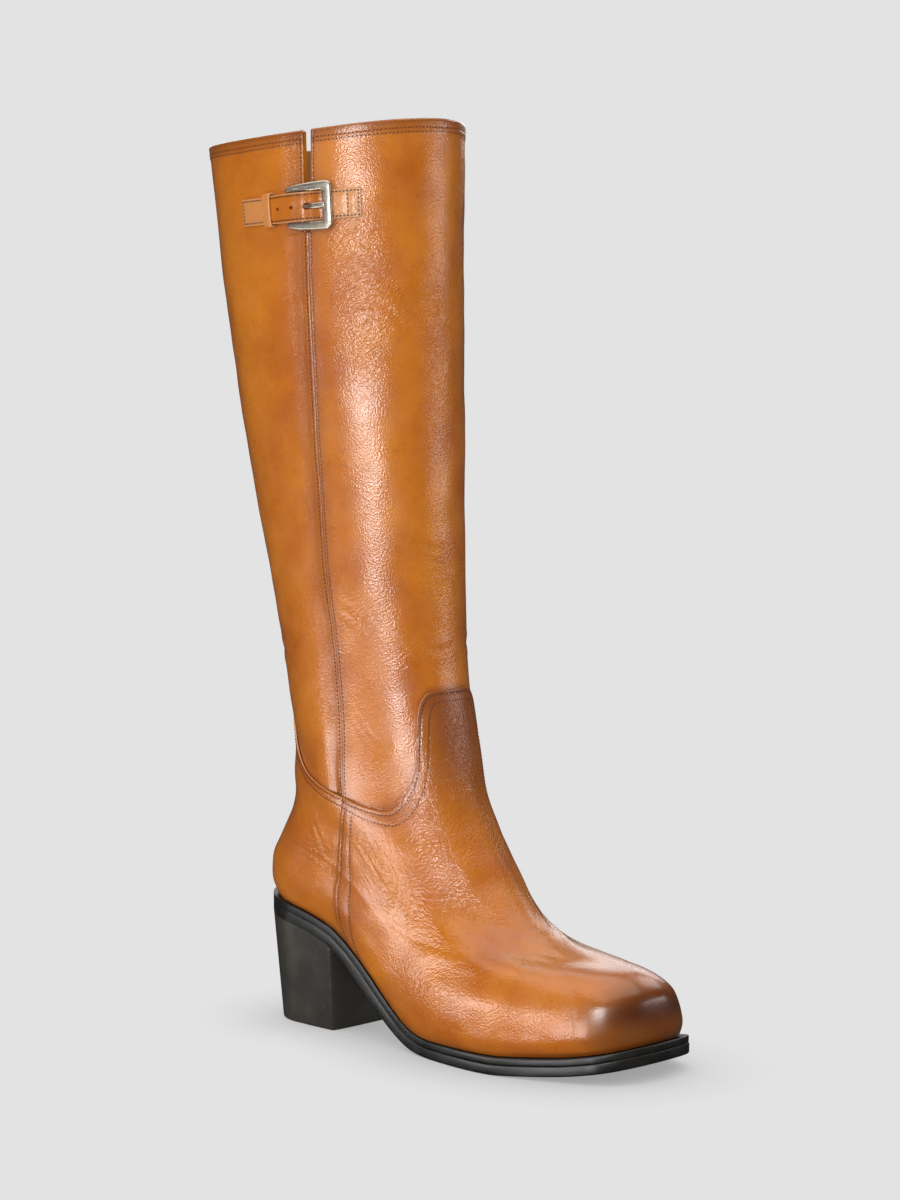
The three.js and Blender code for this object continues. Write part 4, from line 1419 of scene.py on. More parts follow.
@dataclass
class Foot:
    """The foot piece: vamp and counter in lined leather, joined by a lapped seam on each side."""

    rear_columns: int = 58
    front_columns: int = 116
    far_rows: int = 108
    inner_rows: int = 26
    near_rear: tuple[float, ...] = (0, 0.22, 0.6, 1.2, 2.2, 3.6)
    near_front: tuple[float, ...] = (
        0.04, 0.16, 0.36, 0.7, 1.05, 1.35, 1.7, 2.2, 2.9, 3.5, 4.0, 4.5, 5.3, 6.6,
    )
    near_lap: tuple[float, ...] = (2.2, 1.7, 1.2, 0.8, 0.45, 0.2, 0.06, 0.0)
    seam_rate: float = 0.62  # distance in mm covered for each degree at the seam
    measured_row: int = 45  # row whose length gives the surface coordinates
    seam: tuple[tuple[float, float], ...] = (  # level, angle in degrees
        (0, 64.9), (3.6, 64.6), (11.5, 63.4), (23.2, 62.6), (36.3, 65.1), (59.1, 74.4), (87.8, 91),
    )
    vamp_proud: float = 0.7
    lap_rows: tuple[float, float] = (1.7, 5.6)
    seam_rows: tuple[float, float] = (1.3, 4.0)
    ripples: tuple[Patch, ...] = (
        Patch(93, 66, 14, 12, 0.75), Patch(104, 52, 18, 12, 0.8), Patch(120, 60, 20, 14, 0.75),
        Patch(140, 84, 16, 18, 0.8), Patch(172, 110, 18, 16, 0.75), Patch(180, 134, 16, 12, 0.6),
        Patch(118, 36, 18, 8, 0.6), Patch(148, 58, 16, 9, 0.55), Patch(99, 24, 18, 9, 0.6),
        Patch(84, 24, 12, 12, 0.35), Patch(56, 36, 10, 12, 0.7), Patch(59, 52, 8, 12, 0.5),
        Patch(130, 16, 14, 6, 0.4), Patch(230, 60, 24, 20, 0.6), Patch(262, 50, 18, 16, 0.6),
        Patch(205, 90, 20, 20, 0.6),
    )
    creases: tuple[Crease, ...] = (
        Crease(((146, 66), (152, 58), (160, 53), (170, 50)), 2.4, 0.45),
        Crease(((142, 58), (149, 50), (158, 46), (168, 44)), 2.2, 0.4),
        Crease(((128, 52), (136, 46), (146, 42)), 2.0, 0.28),
        Crease(((163, 112), (166, 98), (166, 84), (163, 70), (158, 60)), 4.8, 0.45),
        Crease(((197, 112), (194, 98), (194, 84), (198, 70), (203, 60)), 4.8, 0.4),
        Crease(((214, 66), (206, 57), (196, 52), (186, 50)), 2.4, 0.42),
        Crease(((94, 76), (98, 66), (104, 56)), 1.3, 0.3),
        Crease(((90, 70), (94, 61), (100, 51)), 1.2, 0.28),
        Crease(((98, 80), (103, 70), (110, 60)), 1.4, 0.26),
        Crease(((57, 60), (60, 50), (62, 41)), 1.3, 0.28),
        Crease(((264, 72), (258, 60), (252, 50)), 1.5, 0.3),
    )

    def __post_init__(self) -> None:
        """Makes the seam's curve and the leather's swelling."""
        rows = np.asarray(self.seam)
        self.seam_x = Curve(rows[:, 0], FORM.point(np.radians(rows[:, 1]), rows[:, 0])[:, 0])
        self.swell = Swell(31, 46.0)
        self.fine_swell = Swell(37, 16.0)

    def seam_angle(self, level: Array) -> Array:
        """Gives the lateral seam's angle in degrees at each level."""
        back, front = FORM.columns["back_x"](level), FORM.columns["front_x"](level)
        share = (self.seam_x(level) - back) / (front - back)
        return np.degrees(np.arccos(1.0 - 2.0 * share))

    def half_angles(self, level: Array) -> Array:
        """Gives one side's column angles at the given levels.

        Args:
            level: Level of each column's point, in columns or in rows and columns.

        Returns:
            Angles in degrees in the same rows and columns.
        """
        seam = self.seam_angle(level)
        near_rear = np.asarray(self.near_rear)[::-1] / self.seam_rate
        near_front = np.asarray(self.near_front) / self.seam_rate
        far_rear = 1.0 - np.linspace(1.0, 0.0, self.rear_columns - len(near_rear) + 1)[:-1]
        far_front = np.linspace(0.0, 1.0, self.front_columns - len(near_front) + 1)[1:]
        first, last = len(far_rear), level.shape[-1] - len(far_front)
        rear = far_rear * (seam[..., :first] - near_rear[0])
        middle = seam[..., first:last] + np.concatenate([-near_rear, near_front])
        seam = seam[..., last:]
        front = seam + near_front[-1] + far_front * (180.0 - seam - near_front[-1])
        return np.concatenate([rear, middle, front], axis=-1)

    def grid(self) -> tuple[Array, Array]:
        """Gives the angles in degrees and the levels of the outer face's points."""
        columns = self.rear_columns + self.front_columns
        top = np.full(columns, 100.0)
        for _ in range(6):
            top = LAP.highest(self.half_angles(top))
        angle_top = self.half_angles(top)
        rate = FORM.around_rate(np.radians(angle_top), top) * PER_DEGREE
        slope = (LAP.highest(angle_top + 0.5) - LAP.highest(angle_top - 0.5)) / rate
        tilt = np.hypot(1.0, slope)
        near = np.asarray(self.near_lap)[:, None] * np.minimum(tilt, 3.0)
        far = np.linspace(0.0, 1.0, self.far_rows)[:, None]
        level = np.concatenate([far * (top - near[0]), top - near[1:]])
        return self.half_angles(level), level

    def seam_distance(self, degrees: Array, level: Array) -> Array:
        """Gives the signed distance from the side seam, positive on the vamp."""
        turned = np.asarray(degrees, float) % 360.0
        lateral = np.minimum(turned, 360.0 - turned)
        return (lateral - self.seam_angle(level)) * self.seam_rate

    def plain(self, degrees: Array, level: Array) -> Array:
        """Gives the outer face's offset before any relief: counter, vamp and lap."""
        lap = ease(level, 58.0, 80.0)
        step = ease(self.seam_distance(degrees, level), 0.0, 0.3)
        return 2.0 + lap * 1.42 + self.vamp_proud * step * (1.0 - 0.1 * lap)

    def relief(self, degrees: Array, level: Array, points: Array) -> Array:
        """Gives the height of the outer face over its plain offset.

        Args:
            degrees: Angles in degrees.
            level: Levels.
            points: Points of the plain face.

        Returns:
            Heights in mm.
        """
        calm = ease(level, 2.0, 12.0) * (1.0 - ease(points[..., 0], 196.0, 216.0) * 0.75)
        top = LAP.highest(degrees) - level
        calm *= ease(top, 2.0, 12.0)
        height = 0.26 * self.swell(points) + 0.1 * self.fine_swell(points)
        for crease in self.creases:
            height += crease.relief(points, 2.6)
        height += self.gathers(degrees, level, points)
        height *= calm
        seam = self.seam_distance(degrees, level)
        return height - 0.25 * bell(seam + 0.35, 0.5) * (seam < 0.02) + 0.12 * bell(seam - 2.6, 0.9)

    def gathers(self, degrees: Array, level: Array, points: Array) -> Array:
        """Gives the fine folds that fan out from the side seam, on both its sides."""
        seam = self.seam_distance(degrees, level)
        wobble = self.fine_swell(points)
        vamp = ease(seam, 5.5, 9.0) * (1.0 - ease(seam, 17.0, 28.0)) * bell((level - 62.0) / 16.0, 1.0)
        fan = np.sin((0.82 * points[..., 0] + 0.5 * points[..., 2]) * TURN / 2.8 + 1.6 * wobble)
        rear = ease(-seam, 2.0, 4.0) * (1.0 - ease(-seam, 10.0, 17.0)) * bell((level - 44.0) / 13.0, 1.0)
        fold = np.sin((0.25 * points[..., 0] + 0.95 * points[..., 2]) * TURN / 3.8 + 1.8 * wobble)
        return 0.12 * vamp * fan + 0.11 * rear * fold

    def face(self, degrees: Array, level: Array, extra: float = 0.0) -> Array:
        """Gives points of the finished outer face.

        Args:
            degrees: Angles in degrees.
            level: Levels.
            extra: Extra distance outward.

        Returns:
            Points in mm.
        """
        plain = self.plain(degrees, level)
        points = FORM.offset(np.radians(degrees), level, plain)
        height = self.relief(degrees, level, points)
        return FORM.offset(np.radians(degrees), level, plain + height + extra)

    def build(self, palette: Palette, rows: StitchRows) -> Piece:
        """Builds the foot piece and lays out its stitches.

        Args:
            palette: Finishes.
            rows: Stitches that the foot's own rows are added to.

        Returns:
            The foot piece.
        """
        lines = self.sew(rows)
        half_angle, half_level = self.grid()
        angle = np.concatenate([half_angle, 360.0 - half_angle[:, ::-1][:, 1:-1]], axis=1)
        level = np.concatenate([half_level, half_level[:, ::-1][:, 1:-1]], axis=1)
        plain = self.plain(angle, level)
        points = FORM.offset(np.radians(angle), level, plain)
        row_distance = Nearest(lines)(points)
        height = self.relief(angle, level, points) - 0.16 * bell(row_distance, 0.42)
        height[-2] -= 0.07
        height[-1] -= 0.24
        face = FORM.offset(np.radians(angle), level, plain + height)
        shell = Shell()
        fields = self.fields(angle, level, face, row_distance)
        outer = shell.add(face, **fields)

        cut = plain[-1:] + height[-1:]
        sides = np.concatenate([cut - (cut - LAP_INSIDE) * share for share in (0.3, 0.7)])
        flat_angle = np.radians(np.repeat(angle[-1:], 2, axis=0))
        edge = FORM.offset(flat_angle, np.repeat(level[-1:], 2, axis=0), sides)
        middle = shell.add(edge, raw=np.full(edge.shape[:-1], 0.9))
        share = np.linspace(1.0, 0.0, self.inner_rows)[:, None]
        inner_level = level[-1:] * share
        inner_out = LAP_INSIDE * ease(inner_level, 69.0, 75.0)
        inner_angle = np.radians(np.repeat(angle[-1:], self.inner_rows, axis=0))
        inner = shell.add(FORM.offset(inner_angle, inner_level, inner_out))
        length = run_length(face[self.measured_row])
        length = np.append(length, 2.0 * length[-1] - length[-2])
        closed_level = np.concatenate([level, level[:, :1]], axis=1)
        place = np.stack(np.broadcast_arrays(length[None, :], closed_level), axis=-1)
        shell.skin(close_columns(outer), 0, place)
        shell.skin(close_columns(np.concatenate([outer[-1:], middle, inner[:1]])))
        shell.skin(close_columns(np.concatenate([inner, outer[:1]])), 1)
        return shell.build("foot_leather", [palette.leather, palette.lining], 40.0)

    def fields(
        self, degrees: Array, level: Array, points: Array, row_distance: Array
    ) -> dict[str, Array]:
        """Gives the leather's fields on the outer face.

        Args:
            degrees: Angles in degrees.
            level: Levels.
            points: Points of the face.
            row_distance: Distances from the stitch rows.

        Returns:
            The fields by name.
        """
        x, y, z = points[..., 0], points[..., 1], points[..., 2]
        seam = self.seam_distance(degrees, level)
        tilt = np.minimum(LAP.highest(degrees) - level, 40.0)
        front = bell(degrees % 360.0 - 180.0, 30.0)
        redden = front * ease(z, 88.0, 158.0)
        redden = redden + 0.35 * (1.0 - ease(tilt, 4.0, 9.0)) + 0.45 * bell(seam - 2.6, 2.6)
        burnish = 0.35 * front * ease(z, 112.0, 165.0) + 0.3 * bell(seam - 0.1, 1.3)
        # Burnish near the sole's edge, with painted shade in the thin dark line where the foot piece meets
        # the welt.
        burnish = burnish + 0.16 * (1.0 - ease(level, 0.5, 4.5)) + 0.3 * bell(level - 1.0, 1.2)
        lateral = np.where(y < 10.0, 1.0, 0.75)
        reach = x + 0.25 * np.abs(y - 12.0) * lateral - 0.35 * np.maximum(z - 34.0, 0.0)
        toe = 0.95 * ease(reach + 2.0 * self.swell(points), 217.0, 241.0)
        toe *= 0.75 + 0.25 * ease(z, 24.0, 36.0)
        # The toe's dark burnish also runs along the welt at the forepart, partly as painted shade in the
        # joint.
        toe = np.maximum(toe, 0.6 * ease(x, 170.0, 225.0) * bell(level - 1.0, 1.8))
        raw = np.zeros(level.shape)
        raw[-1] = 0.75
        step = (seam > -0.05) & (seam < 0.14)
        raw = np.maximum(raw, 0.45 * step)
        return {
            "burnish": np.clip(burnish, 0.0, 0.8),
            "ripple": patches_at(self.ripples, degrees % 360.0, level),
            "channel": 0.4 * bell(row_distance, 0.4),
            "redden": np.clip(redden, 0.0, 0.9),
            "toe": np.clip(toe, 0.0, 0.97),
            "raw": raw,
        }

    def sew(self, rows: StitchRows) -> list[Array]:
        """Adds the rows along the lap and the side seams.

        Args:
            rows: Stitches.

        Returns:
            The rows' lines.
        """
        lines = []
        for inset in self.lap_rows:
            degrees, level = LAP.inside(np.linspace(0.0, 180.0, 420), inset)
            order = np.argsort(np.round(degrees, 6), kind="stable")
            degrees, level = np.clip(degrees[order], 0.0, 180.0), level[order]
            degrees = np.concatenate([degrees, 360.0 - degrees[::-1][1:]])
            level = np.concatenate([level, level[::-1][1:]])
            line = self.face(degrees, level, -STITCH_SINK)
            rows.add(line, FORM.normal(np.radians(degrees), level))
            lines.append(line)
        for inset in self.seam_rows:
            level = np.linspace(1.5, 79.5, 120)
            lateral = self.seam_angle(level) + inset / self.seam_rate
            for degrees in (lateral, 360.0 - lateral):
                line = self.face(degrees, level, -STITCH_SINK)
                rows.add(line, FORM.normal(np.radians(degrees), level))
                lines.append(line)
        return lines


@dataclass
class SoleUnit:
    """Outsole, welt, heel block and insole."""

    columns: int = 300
    outline: dict[str, float] = field(
        default_factory=lambda: dict(
            back_x=-5, front_x=240, heel=30.5, waist_lat=33, waist_med=23, ball_lat=45, ball_med=40,
            toe_lat=35, toe_med=36, cap_back=30, cap_front=32, square=2.5,
        )
    )
    heel_top: dict[str, float] = field(
        default_factory=lambda: dict(
            back_x=-4.9, front_x=57, heel=30.3, waist_lat=30.7, waist_med=29.6, ball_lat=31,
            ball_med=28.6, toe_lat=31.2, toe_med=27.6, cap_back=29.6, cap_front=3, square=3,
        )
    )
    heel_foot: dict[str, float] = field(
        default_factory=lambda: dict(
            back_x=1, front_x=54, heel=26.5, waist_lat=26, waist_med=25, ball_lat=26.5, ball_med=25,
            toe_lat=26.5, toe_med=25, cap_back=24, cap_front=3, square=3,
        )
    )
    groove_from: tuple[float, float] = (112.0, 128.0)
    groove: float = 0.55
    waist_edge: float = 0.06  # rounding of the edges where the sole is plain
    heel_rows: tuple[tuple[float, float], ...] = (
        (0.0, 0.7), (0.004, 0.3), (0.012, 0.08), (0.03, 0.0), (0.25, 0.0), (0.5, 0.0), (0.75, 0.0),
        (0.985, 0.0), (1.0, 0.04),
    )
    insole_rows: tuple[tuple[float, float], ...] = ((0.5, 0.0), (0.5, 2.2), (0.8, 2.8), (1.6, 3.0))

    def ring(self, outline: dict[str, float], inset: float) -> Array:
        """Gives the points of an outline, drawn some mm inside it, with no height yet.

        Args:
            outline: Sizes of the outline.
            inset: How far inside it, in mm.

        Returns:
            Points round the outline.
        """
        angle = np.arange(self.columns) * TURN / self.columns
        _, x, y = FORM.plan(outline, angle, inset)
        return np.stack([x, FORM.swing(x) + y, np.zeros(x.shape)], axis=-1)

    def inset_ring(self, inset: Array) -> Array:
        """Gives the sole's outline with an inset that changes along it."""
        outer, inner = self.ring(self.outline, 0.0), self.ring(self.outline, 1.0)
        return outer + (inner - outer) * inset[:, None]

    def stack(self, rings: Sequence[Array]) -> Shell:
        """Makes a solid of rings going up, with ends that run across from side to side.

        Args:
            rings: Closed rings of points.

        Returns:
            The shell.
        """
        shell = Shell()
        number = shell.add(np.stack(rings))
        shell.skin(close_columns(number))
        half = number.shape[1] // 2
        for row, turned in ((number[0], True), (number[-1], False)):
            first = row[: half + 1]
            second = np.concatenate([row[:1], row[::-1][:half]])
            shell.skin(np.stack([second, first], axis=-1), turned=turned)
        return shell

    def layer(self, low: float, high: float, plain: float, edges: tuple[float, float]) -> Shell:
        """Makes one layer of the sole, with its two edges rounded.

        Args:
            low: Distance of its underside above the sole's underside.
            high: Distance of its top.
            plain: Inset of its side in the forepart.
            edges: Insets of the lower and the upper edge in the forepart.

        Returns:
            The shell.
        """
        x = self.ring(self.outline, 0.0)[:, 0]
        fore = ease(x, *self.groove_from)
        rings = []
        for upper, edge in enumerate(edges):
            for part in np.linspace(0.0, 1.0, 5)[:: -1 if upper else 1]:
                quarter = 1.0 - math.sin(part * math.pi / 2.0)
                rise = 1.0 - math.cos(part * math.pi / 2.0)
                depth = edge * fore + self.waist_edge * (1.0 - fore)
                inset = plain * fore + quarter * depth
                reach = depth * rise
                distance = high - reach if upper else low + reach
                ring = self.inset_ring(inset)
                ring[:, 2] = FORM.above_sole(ring[:, 0], distance)
                rings.append(ring)
        return self.stack(rings)

    def heel_ring(self, share: float, inset: float) -> Array:
        """Gives a ring of the heel block.

        Args:
            share: Height as a share of the way up to the sole.
            inset: How far inside the block's side.

        Returns:
            Points round the block.
        """
        mixed = {key: foot + (self.heel_top[key] - foot) * share for key, foot in self.heel_foot.items()}
        ring = self.ring(mixed, inset)
        ring[:, 2] = share * (FORM.sole_bottom(ring[:, 0]) - 0.05)
        return ring

    def insole_ring(self, inset: float, height: float) -> Array:
        """Gives a ring of the insole at a height above the foot piece's lower edge."""
        angle = np.arange(self.columns) * TURN / self.columns
        points = FORM.offset(angle, 0.0, -inset)
        points[:, 2] = FORM.sole_top(points[:, 0]) + height
        return points

    def build(self, palette: Palette) -> dict[str, Piece]:
        """Builds the four pieces.

        Args:
            palette: Finishes.

        Returns:
            The pieces by name.
        """
        outsole = self.layer(0.0, OUTSOLE_THICK + 0.22, 0.0, (0.9, self.groove))
        welt_bottom = OUTSOLE_THICK + GAP
        welt = self.layer(welt_bottom, welt_bottom + WELT_THICK, 0.25, (self.groove, 0.75))
        heel = self.stack([self.heel_ring(share, inset) for share, inset in self.heel_rows])
        insole = self.stack([self.insole_ring(inset, height) for inset, height in self.insole_rows])
        return {
            "outsole": outsole.build("outsole_leather", [palette.sole], 30.0),
            "welt": welt.build("welt_leather", [palette.sole], 30.0),
            "heel": heel.build("heel_stack", [palette.heel], 30.0),
            "insole": insole.build("insole_leather", [palette.lining], 40.0),
        }


@dataclass
class StrapSet:
    """Strap, buckle tab and keeper on the lateral side, with the buckle's frame and prong."""

    level: float = 389.5
    zero_x: float = 72.5
    strap_ends: tuple[float, float] = (-34.8, 16.0)
    strap_half: float = 7.3
    thick: float = 1.5  # of the strap and the tab
    tab_ends: tuple[float, float] = (-52.0, -15.6)
    tab_half: float = 7.0
    hole_at: tuple[float, float] = (-25.6, -16.8)
    hole_radius: float = 0.95
    slot: tuple[float, float, float] = (-9.6, -8.2, 1.65)  # start, end and half width
    lift: tuple[tuple[float, float], ...] = (  # place along the strap, height over the leg
        (-37, 2.1), (-29, 2.1), (-21, 4.3), (-16, 5.4), (-12, 5.4), (-8, 3.2), (-3, 0.4), (0, 0.3),
        (16, 0.3),
    )
    row_inset: float = 1.25
    strap_cross_row: float = 9.3
    tab_cross_row: float = -36.6
    hinge_at: float = -13.0
    keeper_at: float = -32.0
    keeper_half: float = 2.1
    keeper_half_thick: float = 0.62
    corner_radius: float = 0.8
    edge_round: float = 0.55

    def __post_init__(self) -> None:
        """Measures the strap's line round the leg: s runs along it, w across it and h out of it."""
        angle = np.radians(np.arange(50.0, 170.1, 1.0))
        points = FORM.offset(angle, self.level, WALL_SHAFT)
        length = run_length(points)
        zero = float(Curve(points[:, 0], length)(self.zero_x))
        self.angle_at = Curve(length - zero, angle)
        self.lift_at = Curve.of(self.lift)

    def place(self, s: Array, w: Array, h: Array) -> Array:
        """Puts points given along, across and out of the strap's line onto the leg."""
        return FORM.offset(self.angle_at(s), self.level + w, WALL_SHAFT + h)

    def band(
        self, ends: tuple[float, float], half: float, lift: Curve | None, rows: Array, holes: bool
    ) -> Shell:
        """Makes a flat band with rounded edges, sewn channels and, where asked, holes.

        Args:
            ends: Its two ends along the line.
            half: Half its width.
            lift: How far it rises along the line, or None where it lies flat.
            rows: Its stitch rows, each as start and end in s and w.
            holes: Whether the holes and the prong's slot are cut.

        Returns:
            The shell.
        """
        near = (0.0, 0.07, 0.2, 0.42, 0.75)
        along = clustered(ends[0], ends[1], 0.36, near)
        across = clustered(-half, half, 0.33, near)
        s, w = np.meshgrid(along, across, indexing="ij")
        corner = self.corner_radius
        over = np.maximum(np.maximum(ends[0] + corner - s, s - ends[1] + corner), 0.0)
        side = np.maximum(np.abs(w) - half + corner, 0.0)
        reach = np.hypot(over, side)
        pull = np.where(reach > corner, corner / np.maximum(reach, 1e-6), 1.0)
        both = (over > 0) & (side > 0)
        s = np.where(both, s + np.sign(s - sum(ends) / 2) * over * (pull - 1.0), s)
        w = np.where(both, w + np.sign(w) * side * (pull - 1.0), w)
        edge = np.minimum(np.minimum(s - ends[0], ends[1] - s), half - np.abs(w))
        edge = np.where(both, corner - np.minimum(reach, corner), edge)
        kept = np.ones((len(along) - 1, len(across) - 1), bool)
        shape = [(at, at, self.hole_radius) for at in self.hole_at] + [self.slot] if holes else []
        for first, last, radius in shape:
            nearest = np.clip(s, first, last)
            away = np.hypot(s - nearest, w)
            onto = np.abs(away - radius) < 0.2
            grow = np.where(onto & (away > 1e-6), radius / np.maximum(away, 1e-6), 1.0)
            s, w = nearest + (s - nearest) * grow, w * grow
            middle_s = (s[:-1, :-1] + s[1:, 1:] + s[1:, :-1] + s[:-1, 1:]) / 4
            middle_w = (w[:-1, :-1] + w[1:, 1:] + w[1:, :-1] + w[:-1, 1:]) / 4
            kept &= np.hypot(middle_s - np.clip(middle_s, first, last), middle_w) > radius * 0.97
        row = np.full(s.shape, 9.0)
        for (s0, w0), (s1, w1) in rows:
            span = np.array([s1 - s0, w1 - w0])
            share = np.clip(((s - s0) * span[0] + (w - w0) * span[1]) / (span @ span), 0.0, 1.0)
            row = np.minimum(row, np.hypot(s - s0 - share * span[0], w - w0 - share * span[1]))
        inward = np.clip(1.0 - edge / self.edge_round, 0.0, 1.0)
        round_off = self.edge_round * (1.0 - np.sqrt(1.0 - inward**2))
        crown = 0.2 * ease(np.minimum(row, edge + 3.0), 0.6, 2.6) - 0.13 * bell(row, 0.4)
        rise = lift(s) if lift else np.full(s.shape, GAP)
        top = self.place(s, w, rise + self.thick - round_off + crown)
        bottom = self.place(s, w, rise + 0.35 * round_off)
        shell = Shell()
        fields = {
            "burnish": 0.15 * bell(edge - 1.2, 1.0),
            "channel": 0.6 * bell(row, 0.36),
            "ripple": np.full(s.shape, 0.08),
            "redden": 0.35 * bell((s + 13.5) / 4.0, 1.0) if lift else np.zeros(s.shape),
            "raw": np.maximum(0.75 * bell(edge, 0.5), 0.3 * ease(s, -4.6, -3.6) if lift else 0.3),
        }
        upper = shell.add(top, **fields)
        under = shell.add(bottom, raw=np.full(s.shape, 0.35))
        self.cover(shell, upper, under, kept, np.stack([s, w], axis=-1))
        return shell

    @staticmethod
    def cover(shell: Shell, upper: Array, under: Array, kept: Array, place: Array) -> None:
        """Covers the kept cells of a band on both faces and walls their borders.

        Args:
            shell: Shell that gets the faces.
            upper: Point numbers of the top face.
            under: Point numbers of the bottom face.
            kept: Which cells are there.
            place: Surface coordinates of the points.
        """
        padded = np.pad(kept, 1)
        for i, j in np.argwhere(kept).tolist():
            cell = np.ix_((i, i + 1), (j, j + 1))
            shell.skin(upper[cell], 0, place[cell])
            shell.skin(under[cell], 0, place[cell], True)
            border = (
                (padded[i, j + 1], (i, j), (i, j + 1)),
                (padded[i + 2, j + 1], (i + 1, j + 1), (i + 1, j)),
                (padded[i + 1, j], (i + 1, j), (i, j)),
                (padded[i + 1, j + 2], (i, j + 1), (i + 1, j + 1)),
            )
            for there, a, b in border:
                if not there:
                    shell.face([upper[b], upper[a], under[a], under[b]])

    def keeper(self) -> Shell:
        """Makes the leather loop that holds the strap down."""
        half = [(8.9, 0.3), (9.0, 2.0), (8.8, 3.6), (7.9, 4.7), (5.5, 5.15)]
        arch = [(-w, h) for w, h in half] + [(0.0, 5.35)] + half[::-1]
        line = follow(np.array(arch), 70)
        way = np.gradient(line, axis=0)
        way /= np.linalg.norm(way, axis=1, keepdims=True)
        out = np.stack([-way[:, 1], way[:, 0]], axis=-1)
        corner = np.linspace(0.0, TURN, 24, endpoint=False)
        along = signed_power(np.cos(corner), 0.35) * self.keeper_half
        deep = self.keeper_half_thick * (1.0 - signed_power(np.sin(corner), 0.5))
        w = line[:, None, 0] - out[:, None, 0] * deep
        h = line[:, None, 1] - out[:, None, 1] * deep
        s = np.broadcast_to(self.keeper_at + along, w.shape)
        shell = Shell()
        rim = np.maximum(0.75 * bell(self.keeper_half - np.abs(along), 0.5), 0.22)
        shell.tube(self.place(s, w, h), raw=rim)
        return shell

    def buckle(self) -> Shell:
        """Makes the three-sided frame and the hinge bar between its arms."""
        turn = np.linspace(0.0, math.pi / 2.0, 9)
        outer = [(-20.9, 8.5), (-20.3, 9.6), (-18.8, 10.5), (-16, 11.15), (-12, 11.7), (-8, 12)]
        outer += [(-4, 12.15)] + [(-0.5 + 2.8 * math.sin(a), 9.4 + 2.8 * math.cos(a)) for a in turn]
        outer += [(2.3, 6.2), (2.3, 3.0), (2.3, 0.0)]
        inner = [(-20.9, 7.9), (-20.3, 7.62), (-18.8, 7.5), (-16, 7.5), (-12, 7.5), (-8, 7.5), (-5.2, 7.5)]
        inner += [(-3.2 + 1.0 * math.sin(a), 6.5 + 1.0 * math.cos(a)) for a in turn]
        inner += [(-2.2, 4.6), (-2.2, 2.2), (-2.2, 0.0)]
        outer, inner = np.array(outer), np.array(inner)
        outer, inner = follow(outer, 90), self.paired(outer, inner, 90)
        flip = np.array([1.0, -1.0])
        outer = np.concatenate([outer, (outer * flip)[::-1][1:]])
        inner = np.concatenate([inner, (inner * flip)[::-1][1:]])
        corner = np.linspace(0.0, TURN, 20, endpoint=False)
        across = 0.5 - 0.5 * signed_power(np.cos(corner), 0.6)
        high = signed_power(np.sin(corner), 0.75)
        edge = np.minimum(np.arange(len(outer)), np.arange(len(outer))[::-1])
        swell = np.maximum(np.sqrt(1.0 - np.clip(1.0 - edge / 5.0, 0.0, 1.0) ** 2), 0.08)
        middle = 0.5 + (across[None, :] - 0.5) * swell[:, None]
        flat = outer[:, None, :] + (inner - outer)[:, None, :] * middle[..., None]
        h = 3.7 + 1.38 * high[None, :] * swell[:, None]
        shell = Shell()
        shell.tube(self.place(flat[..., 0], flat[..., 1], h))
        bar = np.linspace((self.hinge_at, -8.8, 3.0), (self.hinge_at, 8.8, 3.0), 30)
        self.rod(shell, bar, np.full(30, 0.8), np.full(30, 0.8))
        return shell

    @staticmethod
    def paired(outer: Array, inner: Array, count: int) -> Array:
        """Samples the inner line at the same shares as an evenly sampled outer line."""
        length = run_length(outer)
        at = np.linspace(0.0, length[-1], count)
        return np.stack([monotone(length, inner[:, k], at) for k in range(2)], axis=-1)

    def rod(self, shell: Shell, line: Array, wide: Array, high: Array) -> None:
        """Adds a rod with rounded ends along a line.

        Args:
            shell: Shell that gets the rod.
            line: Points in s, w and h.
            wide: Half width at each point.
            high: Half height at each point.
        """
        way = np.gradient(line, axis=0)
        way /= np.linalg.norm(way, axis=1, keepdims=True)
        across = np.where(np.abs(way[:, 1:2]) > 0.8, [[1.0, 0.0, 0.0]], [[0.0, 1.0, 0.0]])
        up = np.cross(way, across)
        turn = np.linspace(0.0, TURN, 16, endpoint=False)
        points = (
            line[:, None]
            + across[:, None] * (wide[:, None] * np.cos(turn))[..., None]
            + up[:, None] * (high[:, None] * np.sin(turn))[..., None]
        )
        shell.tube(self.place(points[..., 0], points[..., 1], points[..., 2]))

    def prong(self) -> Shell:
        """Makes the prong, hooked over the hinge bar and resting on the front bar."""
        line = [
            (-15, 0, 2.5), (-14.95, 0, 3.5), (-14.2, 0, 4.25), (-13, 0, 4.45), (-11.5, 0, 4.5),
            (-9, 0, 4.75), (-6.5, 0, 5.35), (-4.6, 0, 5.75), (-2.6, 0, 6.05), (-1.2, 0, 6.1), (-0.3, 0, 6),
        ]
        path = follow(np.array(line), 60)
        reach = np.linspace(0.0, 1.0, 60)
        wide = 0.9 + 0.48 * ease(reach, 0.3, 0.6)
        high = 0.34 + 0.42 * ease(reach, 0.35, 0.62)
        end = np.sqrt(np.clip(1.0 - np.clip((reach - 0.955) / 0.045, 0.0, 1.0) ** 2, 0.02, 1.0))
        shell = Shell()
        self.rod(shell, path, wide * end, high * end)
        return shell

    def row_lines(self) -> tuple[Array, Array]:
        """Gives the stitch rows of the strap and of the tab, each as start and end in s and w."""
        front, back = self.strap_ends[1] - self.row_inset, self.tab_ends[0] + self.row_inset
        found = []
        for half, start, end, across in (
            (self.strap_half, self.strap_ends[0] + 1.4, front, (front, self.strap_cross_row)),
            (self.tab_half, back, self.tab_cross_row, (back, self.tab_cross_row)),
        ):
            side = half - self.row_inset
            rows = [[(start, w), (end, w)] for w in (side, -side)]
            rows += [[(s, -side), (s, side)] for s in across]
            found.append(np.array(rows))
        return found[0], found[1]

